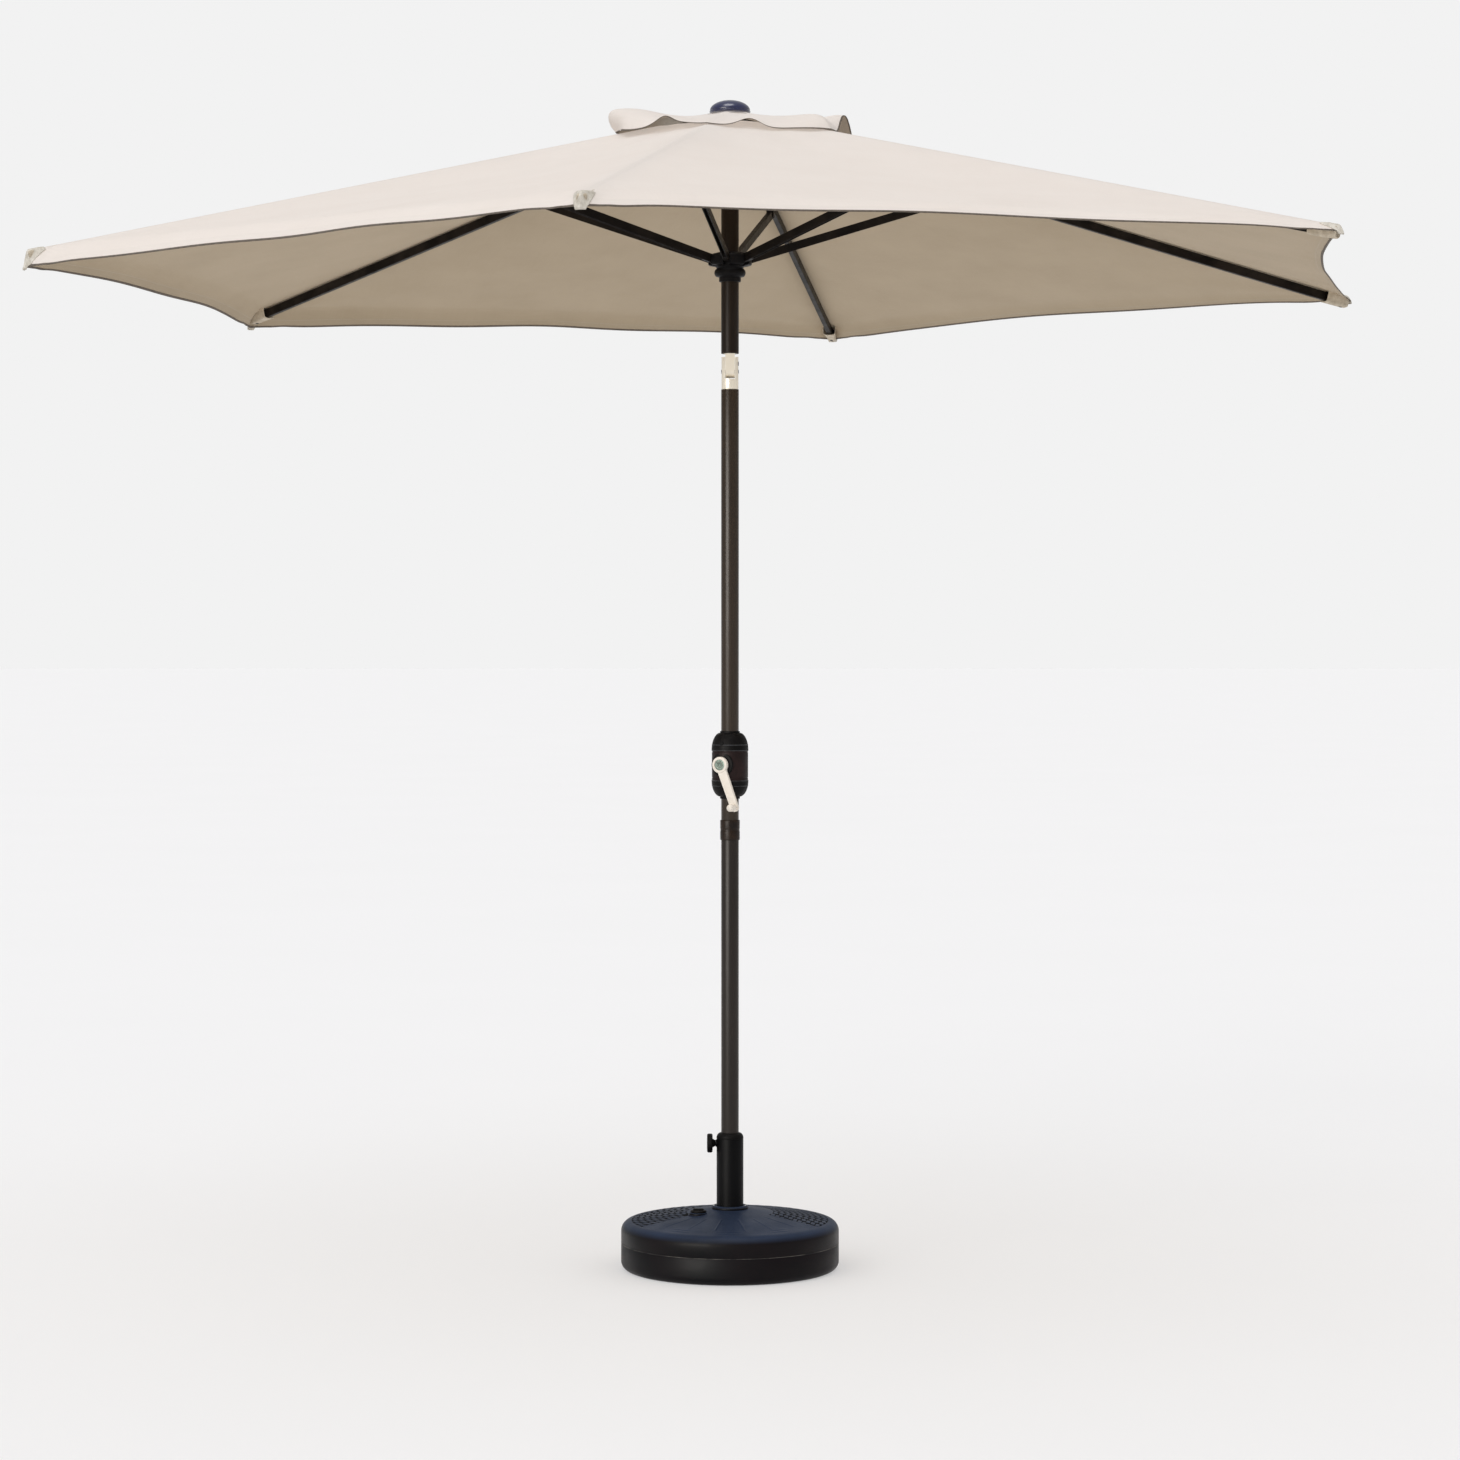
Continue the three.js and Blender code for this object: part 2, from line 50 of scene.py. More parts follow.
# The object's own measures, in millimetres and degrees
poleRadius = 19.0
ribCount = 6
firstRib = -160.0
ribSlope = math.radians(13.1)
pivotRadius = 42.0
ribPivot = 2470.0
runnerHeight = 2177.8
crankHeight = 1091.0
crankTurn = 27.0
crankReach = 97.4
crankLean = math.radians(20.9)
tiltHeight = 1936.5
fullFold = math.radians(72.9)


# ---- shader helpers


def rgb(code):
    values = [int(code[i : i + 2], 16) / 255 for i in (0, 2, 4)]
    linear = [v / 12.92 if v <= 0.04045 else ((v + 0.055) / 1.055) ** 2.4 for v in values]
    return (*linear, 1.0)


def node(tree, kind, feeds=None, **settings):
    made = tree.nodes.new("ShaderNode" + kind)
    for key, value in settings.items():
        setattr(made, key, value)
    for key, value in (feeds or {}).items():
        socket = made.inputs[key]
        if isinstance(value, bpy.types.NodeSocket):
            tree.links.new(value, socket)
        else:
            socket.default_value = value
    return made


def sums(tree, operation, a, b=0.0, clamp=False):
    return node(tree, "Math", {0: a, 1: b}, operation=operation, use_clamp=clamp).outputs[0]


def ranged(tree, value, low, high, toLow=0.0, toHigh=1.0):
    feeds = {"Value": value, "From Min": low, "From Max": high, "To Min": toLow, "To Max": toHigh}
    return node(tree, "MapRange", feeds).outputs[0]


def mixed(tree, share, a, b):
    return node(tree, "Mix", {0: share, 6: a, 7: b}, data_type="RGBA").outputs[2]


def noise(tree, place, scale, detail=4.0, rough=0.55):
    feeds = {"Vector": place, "Scale": scale, "Detail": detail, "Roughness": rough}
    return node(tree, "TexNoise", feeds).outputs[0]


def newMaterial(name):
    made = bpy.data.materials.new(name)
    made.use_nodes = True
    made.node_tree.nodes.clear()
    return made, made.node_tree


def hardSurface(name, look):
    # paint, plastic or metal: patches of two tones, fine grain, worn edges, a painted sky reflection on what faces up
    made, tree = newMaterial(name)
    place = node(tree, "TexCoord").outputs["Object"]
    drawn = node(tree, "Mapping", {"Vector": place, "Scale": look.get("stretch", (1, 1, 1))}).outputs[0]
    patches = noise(tree, drawn, look["patchScale"], 5.0, 0.6)
    fine = noise(tree, drawn, look["grainScale"], 2.0, 0.5)
    colour = mixed(tree, ranged(tree, patches, 0.36, 0.64), rgb(look["colour"]), rgb(look["tone"]))
    faces = node(tree, "NewGeometry")
    if "worn" in look:
        edge = ranged(tree, faces.outputs["Pointiness"], 0.53, 0.62, 0.0, look["wornShare"])
        edge = sums(tree, "MULTIPLY", edge, ranged(tree, patches, 0.4, 0.6))
        colour = mixed(tree, edge, colour, rgb(look["worn"]))
    if "paintedSky" in look:
        # painted reflection: what faces up is mixed toward a blue-grey sky colour
        up = node(tree, "SeparateXYZ", {0: faces.outputs["Normal"]}).outputs[2]
        paintedSkyShare = sums(tree, "MULTIPLY", ranged(tree, up, 0.25, 0.75, 0.0, look["paintedSky"]), ranged(tree, patches, 0.2, 0.6, 0.5, 1.0))
        colour = mixed(tree, paintedSkyShare, colour, rgb(look.get("paintedSkyColour", "8d8578")))
    low, high = look["roughness"]
    rough = ranged(tree, noise(tree, drawn, look["patchScale"] * 3.1, 4.0), 0.3, 0.7, low, high)
    if "gap" in look:
        # painted shade: the low gaps between the base's raised dashes are coloured near black
        shadedGap = node(tree, "Attribute", attribute_name="gap").outputs["Fac"]
        colour = mixed(tree, shadedGap, colour, rgb(look["gap"]))
        rough = sums(tree, "MAXIMUM", rough, shadedGap)
    bump = node(
        tree,
        "Bump",
        {"Height": fine, "Strength": look.get("grainStrength", 0.5), "Distance": look["grainDepth"]},
    ).outputs[0]
    feeds = {
        "Base Color": colour,
        "Roughness": rough,
        "Normal": bump,
        "Metallic": look.get("metallic", 0.0),
        "Specular IOR Level": look.get("specular", 0.5),
        "Coat Weight": look.get("coat", 0.0),
        "Coat Roughness": look.get("coatRoughness", 0.05),
        "Anisotropic": look.get("drawnShine", 0.0),
    }
    shader = node(tree, "BsdfPrincipled", feeds).outputs[0]
    node(tree, "OutputMaterial", {"Surface": shader})
    return made


def stitches(tree, across, along, row, pitch, width):
    # a row of thread: how far across it lies, its stitch length and its thickness, in metres
    off = sums(tree, "ABSOLUTE", sums(tree, "SUBTRACT", across, row))
    line = ranged(tree, off, width * 0.5, width, 1.0, 0.0)
    beat = sums(tree, "SINE", sums(tree, "MULTIPLY", along, 2 * math.pi / pitch))
    return sums(tree, "MULTIPLY", line, ranged(tree, beat, -0.5, 0.1))


def clothMaterial(name, look):
    made, tree = newMaterial(name)
    weave = node(tree, "UVMap", uv_map="Weave").outputs[0]
    edges = node(tree, "SeparateXYZ", {0: node(tree, "UVMap", uv_map="Edges").outputs[0]})
    fromSeam, fromHem = edges.outputs[0], edges.outputs[1]
    split = node(tree, "SeparateXYZ", {0: weave})
    u, v = split.outputs[0], split.outputs[1]
    turn = 2 * math.pi / look["thread"]
    warp = sums(tree, "SINE", sums(tree, "MULTIPLY", u, turn))
    weft = sums(tree, "SINE", sums(tree, "MULTIPLY", v, turn))
    threads = sums(tree, "MULTIPLY", warp, weft)
    lengthwise = node(tree, "Mapping", {"Vector": weave, "Scale": (900, 14, 1)}).outputs[0]
    crosswise = node(tree, "Mapping", {"Vector": weave, "Scale": (14, 900, 1)}).outputs[0]
    slubs = sums(tree, "ADD", noise(tree, lengthwise, 1.0, 2.0), noise(tree, crosswise, 1.0, 2.0))
    soft = noise(tree, weave, look["creaseScale"], 3.0, 0.5)
    seamFold = ranged(tree, sums(tree, "ABSOLUTE", fromSeam), 0.0085, 0.0105, 1.0, 0.0)
    hemFold = ranged(tree, fromHem, 0.0185, 0.021, 1.0, 0.0)
    thread = stitches(tree, sums(tree, "ABSOLUTE", fromSeam), v, 0.0075, 0.0042, 0.0007)
    thread = sums(tree, "ADD", thread, stitches(tree, sums(tree, "ABSOLUTE", fromSeam), v, 0.0022, 0.0042, 0.0007))
    thread = sums(tree, "ADD", thread, stitches(tree, fromHem, u, 0.0165, 0.0042, 0.0007))
    height = sums(tree, "MULTIPLY", threads, 0.35)
    height = sums(tree, "ADD", height, sums(tree, "MULTIPLY", slubs, 0.6))
    height = sums(tree, "ADD", height, sums(tree, "MULTIPLY", sums(tree, "MAXIMUM", seamFold, hemFold), 1.6))
    height = sums(tree, "ADD", height, sums(tree, "MULTIPLY", thread, 2.2))
    fineBump = node(tree, "Bump", {"Height": height, "Strength": 0.45, "Distance": 0.00022}).outputs[0]
    creases = node(tree, "Bump", {"Height": soft, "Strength": 0.35, "Distance": 0.006, "Normal": fineBump}).outputs[0]
    tint = sums(tree, "ADD", sums(tree, "MULTIPLY", slubs, 0.35), sums(tree, "MULTIPLY", soft, 0.6))
    tint = ranged(tree, tint, 0.45, 0.85)
    outside = mixed(tree, tint, rgb(look["outside"]), rgb(look["outsideTone"]))
    # painted shade: the underside takes darker taupe inside colours than the outside
    inside = mixed(tree, tint, rgb(look["inside"]), rgb(look["shadedInsideTone"]))
    colour = mixed(tree, node(tree, "NewGeometry").outputs["Backfacing"], outside, inside)
    # where the cloth lies doubled at seams and hem its colour goes a little darker: painted shade of less light coming
    # through
    doubled = sums(tree, "MAXIMUM", seamFold, hemFold)
    colour = mixed(tree, sums(tree, "MULTIPLY", doubled, 0.07), colour, rgb(look["doubled"]))
    colour = mixed(tree, sums(tree, "MULTIPLY", thread, 0.2, True), colour, rgb(look["threadColour"]))
    feeds = {"Base Color": colour, "Roughness": 0.92, "Specular IOR Level": 0.25, "Sheen Weight": 0.12}
    feeds.update({"Sheen Roughness": 0.5, "Normal": creases})
    shader = node(tree, "BsdfPrincipled", feeds).outputs[0]
    glow = node(tree, "BsdfTranslucent", {"Color": mixed(tree, 0.5, colour, rgb(look["through"])), "Normal": creases})
    through = sums(tree, "MULTIPLY", look["letThrough"], sums(tree, "SUBTRACT", 1.0, sums(tree, "MULTIPLY", doubled, 0.5)))
    both = node(tree, "MixShader", {0: through, 1: shader, 2: glow.outputs[0]}).outputs[0]
    node(tree, "OutputMaterial", {"Surface": both})
    return made


def webbingMaterial(name, colour, tone):
    made, tree = newMaterial(name)
    place = node(tree, "TexCoord").outputs["Object"]
    bands = node(tree, "TexWave", {"Vector": place, "Scale": 260.0, "Distortion": 1.2}, bands_direction="DIAGONAL")
    mottle = noise(tree, place, 90.0)
    shade = mixed(tree, ranged(tree, mottle, 0.35, 0.65), rgb(colour), rgb(tone))
    bump = node(tree, "Bump", {"Height": bands.outputs[1], "Strength": 0.5, "Distance": 0.0004}).outputs[0]
    shader = node(tree, "BsdfPrincipled", {"Base Color": shade, "Roughness": 0.85, "Normal": bump}).outputs[0]
    node(tree, "OutputMaterial", {"Surface": shader})
    return made


looks = {
    "bronzeCoat": {
        "colour": "31281f", "tone": "3a3027", "patchScale": 14.0, "grainScale": 900.0, "grainDepth": 0.00025,
        "grainStrength": 0.35, "roughness": (0.24, 0.32), "stretch": (1, 1, 0.12), "worn": "6a5b4c",
        "wornShare": 0.4, "specular": 0.24,
    },
    "lowerCoat": {
        "colour": "2a2522", "tone": "322c29", "patchScale": 14.0, "grainScale": 900.0, "grainDepth": 0.00025,
        "grainStrength": 0.35, "roughness": (0.26, 0.34), "stretch": (1, 1, 0.12), "worn": "5c534c",
        "wornShare": 0.4, "specular": 0.2,
    },
    # the upper pole takes a darker colour than the middle pole: painted shade of the canopy above it
    "upperCoat": {
        "colour": "150e07", "tone": "20160d", "patchScale": 14.0, "grainScale": 900.0, "grainDepth": 0.00025,
        "grainStrength": 0.35, "roughness": (0.28, 0.38), "stretch": (1, 1, 0.12), "worn": "4a3c2c",
        "wornShare": 0.4, "specular": 0.16,
    },
    "collarCoat": {
        "colour": "170e06", "tone": "2a1b0c", "patchScale": 40.0, "grainScale": 700.0, "grainDepth": 0.0002,
        "grainStrength": 0.35, "roughness": (0.26, 0.4), "worn": "5a4630", "wornShare": 0.5, "specular": 0.22,
    },
    "ribCoat": {
        "colour": "0c0806", "tone": "15100c", "patchScale": 16.0, "grainScale": 900.0, "grainDepth": 0.0002,
        "grainStrength": 0.35, "roughness": (0.38, 0.52), "worn": "4a4038", "wornShare": 0.35, "specular": 0.14,
    },
    "blackMetal": {
        "colour": "070708", "tone": "0d0d0f", "patchScale": 12.0, "grainScale": 1000.0, "grainDepth": 0.00022,
        "grainStrength": 0.35, "roughness": (0.34, 0.48), "stretch": (1, 1, 0.2), "worn": "34343a", "wornShare": 0.35,
        "specular": 0.09,
    },
    "blackPlastic": {
        "colour": "080707", "tone": "0e0c0d", "patchScale": 30.0, "grainScale": 1600.0, "grainDepth": 0.0002,
        "roughness": (0.42, 0.58), "worn": "262426", "wornShare": 0.35, "specular": 0.11,
    },
    "housingPlastic": {
        "colour": "1d1110", "tone": "281817", "patchScale": 26.0, "grainScale": 1600.0, "grainDepth": 0.0002,
        "roughness": (0.4, 0.55), "worn": "3a2c2a", "wornShare": 0.35, "specular": 0.16,
    },
    "basePlastic": {
        "colour": "090a0d", "tone": "130c0f", "patchScale": 5.0, "grainScale": 1100.0, "grainDepth": 0.0003,
        "roughness": (0.36, 0.5), "worn": "232a38", "wornShare": 0.3, "specular": 0.12,
        # painted shade in the gaps between the raised dashes, near black
        # painted sky reflection on the up-facing faces, bluish
        "paintedSky": 0.85, "paintedSkyColour": "2a364c", "gap": "020203",
    },
    # light grey on the housing's raised rings: painted highlight along the ledges
    "ledgeGrey": {
        "colour": "4d4e52", "tone": "242426", "patchScale": 34.0, "grainScale": 1400.0, "grainDepth": 0.0002,
        "roughness": (0.35, 0.5), "specular": 0.3,
    },
    "seamFlash": {
        "colour": "6c6862", "tone": "131215", "patchScale": 26.0, "grainScale": 1100.0, "grainDepth": 0.0003,
        "roughness": (0.4, 0.5), "specular": 0.2,
    },
    "aluminium": {
        "colour": "fff8e8", "tone": "f4ebda", "patchScale": 40.0, "grainScale": 300.0, "grainDepth": 0.00008,
        "grainStrength": 0.6, "roughness": (0.24, 0.36), "metallic": 0.25, "stretch": (1, 1, 0.03),
        "drawnShine": 0.3, "worn": "f6f3ee", "wornShare": 0.4,
    },
    "castSilver": {
        "colour": "f3ebe0", "tone": "e9e1d6", "patchScale": 45.0, "grainScale": 700.0, "grainDepth": 0.00012,
        "roughness": (0.45, 0.6), "metallic": 0.08, "specular": 0.2, "worn": "fbf8f0", "wornShare": 0.5,
    },
    "steel": {
        "colour": "8c8d8f", "tone": "77787b", "patchScale": 60.0, "grainScale": 900.0, "grainDepth": 0.0001,
        "roughness": (0.28, 0.42), "metallic": 0.95, "worn": "c8c8ca", "wornShare": 0.4,
    },
    "finialGloss": {
        "colour": "11173a", "tone": "1c2350", "patchScale": 9.0, "grainScale": 500.0, "grainDepth": 0.00006,
        "grainStrength": 0.25, "roughness": (0.2, 0.3), "coat": 0.6, "coatRoughness": 0.08,
    },
    "fill": {
        "colour": "9c8f78", "tone": "84775f", "patchScale": 40.0, "grainScale": 500.0, "grainDepth": 0.002,
        "roughness": (0.85, 0.95),
    },
    "boltZinc": {
        "colour": "74857b", "tone": "4a544d", "patchScale": 90.0, "grainScale": 700.0, "grainDepth": 0.0001,
        "roughness": (0.3, 0.45), "metallic": 0.5,
    },
    "cordBraid": {
        "colour": "18181a", "tone": "26262a", "patchScale": 700.0, "grainScale": 900.0, "grainDepth": 0.0006,
        "grainStrength": 0.8, "roughness": (0.75, 0.9),
    },
    # the rolled hem edge is coloured darker grey-brown
    "darkHemEdge": {
        "colour": "6b6157", "tone": "574e45", "patchScale": 120.0, "grainScale": 1500.0, "grainDepth": 0.0004,
        "grainStrength": 0.7, "roughness": (0.8, 0.92),
    },
}
finish = {name: hardSurface(name, look) for name, look in looks.items()}
clothLook = {
    "thread": 0.0011,
    "creaseScale": 5.0,
    "outside": "ede6e1",
    "outsideTone": "e8e0da",
    # inside colours: painted shade of the canopy's underside
    "inside": "ae9f89",
    "shadedInsideTone": "a2937d",
    # doubled: darker taupe, painted shade where less light comes through the double cloth
    "doubled": "a8987e",
    "threadColour": "efe8dc",
    "through": "d9b98a",
    "letThrough": 0.14,
}
finish["cloth"] = clothMaterial("canopyCloth", clothLook)
# the vent cap's underside is painted a greyer shade
finish["ventCloth"] = clothMaterial("ventCloth", {**clothLook, "inside": "a59b8f", "shadedInsideTone": "978d81", "through": "d8c8b0"})
finish["webbing"] = webbingMaterial("webbing", "dcd6cb", "bab3a6")
finish["pocketBand"] = webbingMaterial("pocketBand", "cbbfac", "b3a691")
print("materials made")


# ---- shape helpers: everything is built in millimetres and put down in metres


def piece(name, points, faces, looksUsed, body, sharp=38.0, slot=None, bevel=0.0, closed=True, which=None, gaps=None):
    mesh = bpy.data.meshes.new(name)
    mesh.from_pydata([tuple(0.001 * c for c in p) for p in points], [], faces)
    for look in looksUsed:
        mesh.materials.append(finish[look])
    if which is not None:
        mesh.polygons.foreach_set("material_index", which)
    if gaps is not None:
        mesh.attributes.new("gap", "FLOAT", "POINT").data.foreach_set("value", gaps)
    if closed:
        bm = bmesh.new()
        bm.from_mesh(mesh)
        bmesh.ops.remove_doubles(bm, verts=bm.verts, dist=1e-6)
        bmesh.ops.recalc_face_normals(bm, faces=bm.faces)
        bm.to_mesh(mesh)
        bm.free()
    mesh.polygons.foreach_set("use_smooth", [True] * len(mesh.polygons))
    if sharp:
        mesh.set_sharp_from_angle(angle=math.radians(sharp))
    made = bpy.data.objects.new(name, mesh)
    scene.collection.objects.link(made)
    if bevel:
        edge = made.modifiers.new("Eased edges", "BEVEL")
        edge.width, edge.segments, edge.limit_method = 0.001 * bevel, 2, "ANGLE"
        edge.angle_limit = math.radians(35)
        edge.harden_normals = True
    if body:
        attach(made, body)
    return made


def merged(shapes):
    points, faces = [], []
    for p, f in shapes:
        start = len(points)
        points += [tuple(q) for q in p]
        faces += [tuple(start + i for i in face) for face in f]
    return points, faces


def placed(shape, matrix):
    points, faces = shape
    return [tuple(matrix @ Vector(p)) for p in points], faces


def turnZ(angle):
    return Matrix.Rotation(math.radians(angle), 4, "Z")


def along(direction, at=(0, 0, 0)):
    # local Z laid along a direction
    return Matrix.Translation(Vector(at)) @ Vector(direction).to_track_quat("Z", "Y").to_matrix().to_4x4()


def eased(profile, radius, steps=3):
    # rounds the corners of a [radius, height] profile
    closed = profile[0] == profile[-1]
    spots = [Vector((p[0], p[1])) for p in (profile[:-1] if closed else profile)]
    made = []
    for i, here in enumerate(spots):
        if not closed and i in (0, len(spots) - 1):
            made.append(here)
            continue
        before, after = spots[i - 1] - here, spots[(i + 1) % len(spots)] - here
        if before.length < 1e-6 or after.length < 1e-6:
            made.append(here)
            continue
        bend = before.angle(after)
        if bend > math.radians(165) or here[0] < 1e-6:
            made.append(here)
            continue
        trim = min(radius, 0.42 * before.length, 0.42 * after.length)
        a, b = here + before.normalized() * trim, here + after.normalized() * trim
        for k in range(steps + 1):
            t = k / steps
            made.append((1 - t) ** 2 * a + 2 * t * (1 - t) * here + t * t * b)
    if closed:
        made.append(made[0])
    return [(p[0], p[1]) for p in made]


def arc(centre, radii, start, end, steps):
    angles = [math.radians(start + (end - start) * i / steps) for i in range(steps + 1)]
    return [(centre[0] + radii[0] * math.cos(a), centre[1] + radii[1] * math.sin(a)) for a in angles]


def turned(profile, sides=96, ease=0.5, start=0.0, sweep=360.0, lobes=None):
    outline = eased(profile, ease) if ease else list(profile)
    closed = outline[0] == outline[-1]
    if closed:
        outline = outline[:-1]
    whole = sweep >= 360
    columns = sides if whole else sides + 1
    points = []
    for k in range(columns):
        angle = math.radians(start + sweep * k / sides)
        swell = 1.0 if lobes is None else lobes(angle)
        for r, z in outline:
            wide = r * swell if r > 0 else 0.0
            points.append((wide * math.cos(angle), wide * math.sin(angle), z))
    n = len(outline)
    faces = []
    for k in range(sides):
        a, b = k * n, ((k + 1) % columns) * n
        for i in range(n if closed else n - 1):
            j = (i + 1) % n
            faces.append((a + i, b + i, b + j, a + j))
    if not whole:
        faces.append(tuple(range(n)))
        faces.append(tuple(range(sides * n + n - 1, sides * n - 1, -1)))
    return points, faces


def plate(outline, width, middle=0.0):
    # a flat outline in X and Z given its width along Y
    n = len(outline)
    points = [(x, middle - width / 2, z) for x, z in outline] + [(x, middle + width / 2, z) for x, z in outline]
    faces = [tuple(range(n)), tuple(range(2 * n - 1, n - 1, -1))]
    faces += [(i, i + n, (i + 1) % n + n, (i + 1) % n) for i in range(n)]
    return points, faces


def block(low, high):
    outline = [(low[0], low[2]), (high[0], low[2]), (high[0], high[2]), (low[0], high[2])]
    return plate(outline, high[1] - low[1], (high[1] + low[1]) / 2)


def rod(radius, length, sides=24, ease=0.5):
    return turned([(0, 0), (radius, 0), (radius, length), (0, length)], sides, ease)


def wireRing(radius, thickness, height, sides=120, wires=10):
    outline = arc((radius, height), (thickness, thickness), 0, 360, wires)
    outline[-1] = outline[0]
    return turned(outline, sides, 0)


def tube(route, radius, sides=10):
    # a round wire along points, closed at both ends
    spots = [Vector(p) for p in route]
    points, faces = [], []
    side = None
    for i, p in enumerate(spots):
        ahead = (spots[min(i + 1, len(spots) - 1)] - spots[max(i - 1, 0)]).normalized()
        side = ahead.orthogonal() if side is None else side - ahead * side.dot(ahead)
        side.normalize()
        other = ahead.cross(side)
        for k in range(sides):
            a = 2 * math.pi * k / sides
            points.append(tuple(p + radius * (math.cos(a) * side + math.sin(a) * other)))
    for i in range(len(spots) - 1):
        for k in range(sides):
            a, b = i * sides + k, i * sides + (k + 1) % sides
            faces.append((a, b, b + sides, a + sides))
    faces.append(tuple(range(sides - 1, -1, -1)))
    faces.append(tuple((len(spots) - 1) * sides + k for k in range(sides)))
    return points, faces


def shapeOf(solid):
    points, faces = solid
    mesh = bpy.data.meshes.new("shape")
    mesh.from_pydata([tuple(p) for p in points], [], faces)
    bm = bmesh.new()
    bm.from_mesh(mesh)
    bmesh.ops.remove_doubles(bm, verts=bm.verts, dist=1e-4)
    bmesh.ops.recalc_face_normals(bm, faces=bm.faces)
    bm.to_mesh(mesh)
    bm.free()
    made = bpy.data.objects.new("shape", mesh)
    scene.collection.objects.link(made)
    return made


def combined(solid, other, operation="DIFFERENCE"):
    # cuts one solid from another, or joins them, and gives back points and faces
    body, tool = shapeOf(solid), shapeOf(other)
    step = body.modifiers.new("step", "BOOLEAN")
    step.operation, step.object, step.solver = operation, tool, "EXACT"
    graph = bpy.context.evaluated_depsgraph_get()
    mesh = body.evaluated_get(graph).to_mesh()
    points = [tuple(v.co) for v in mesh.vertices]
    faces = [tuple(p.vertices) for p in mesh.polygons]
    for used in (body, tool):
        data = used.data
        bpy.data.objects.remove(used)
        bpy.data.meshes.remove(data)
    return points, faces


def ribAzimuth(i):
    return firstRib + 60.0 * i


# ---- base


baseShape = {
    "radius": 235.5,
    "rim": 105.0,
    "top": 130.0,
    "ringFrom": 100.0,
    "ringStep": 13.2,
    "ringCount": 9,
    "dash": 25.0,
    "dashHeight": 0.8,
    "plainSector": 60.0,
    "partingHeight": 58.0,
}


def weaveHeight(x, y):
    # raised dashes in rings, slanted like a rope, with a plain sector in front
    s = baseShape
    r = math.hypot(x, y)
    angle = math.degrees(math.atan2(y, x))
    front = abs((angle + 90 + 180) % 360 - 180)
    plain = 1 / (1 + math.exp(-(front - s["plainSector"]) / 1.6))
    fx, fy = x + 68, y + 42
    clear = 1 / (1 + math.exp(-(math.hypot(fx, fy) - 34) / 2.0))
    height = 0.0
    ring = (r - s["ringFrom"]) / s["ringStep"]
    for k in (math.floor(ring), math.floor(ring) + 1):
        if not 0 <= k < s["ringCount"]:
            continue
        radius = s["ringFrom"] + s["ringStep"] * k
        count = round(2 * math.pi * radius / s["dash"])
        phase = math.radians(angle) * count / (2 * math.pi) + 0.5 * (k % 2)
        step = (phase % 1.0) - 0.5
        offset = r - radius + step * s["ringStep"] * 0.55
        across = abs(offset) / (s["ringStep"] * 0.34)
        lengthwise = abs(step) / 0.47
        if across < 1 and lengthwise < 1:
            rise = math.sqrt(1 - across * across) * (1 - lengthwise**4)
            height = max(height, s["dashHeight"] * rise)
    height *= plain * clear
    if front < s["plainSector"]:
        # low fan lines and short arcs in the plain sector
        for at in (-48.0, -29.0, -10.0, 10.0, 29.0, 48.0):
            gap = math.radians(abs(((angle + 90 + 180) % 360 - 180) - at)) * r
            if 96 < r < 186:
                height += 0.8 * math.exp(-((gap / 1.8) ** 2)) * min(1.0, (r - 96) / 12, (186 - r) / 6)
        for rr in (190.0, 202.0):
            swing = math.cos(math.radians((angle + 90) * 11.25))
            height += 0.8 * max(0.0, swing) * math.exp(-(((r - rr) / 1.8) ** 2))
    return height


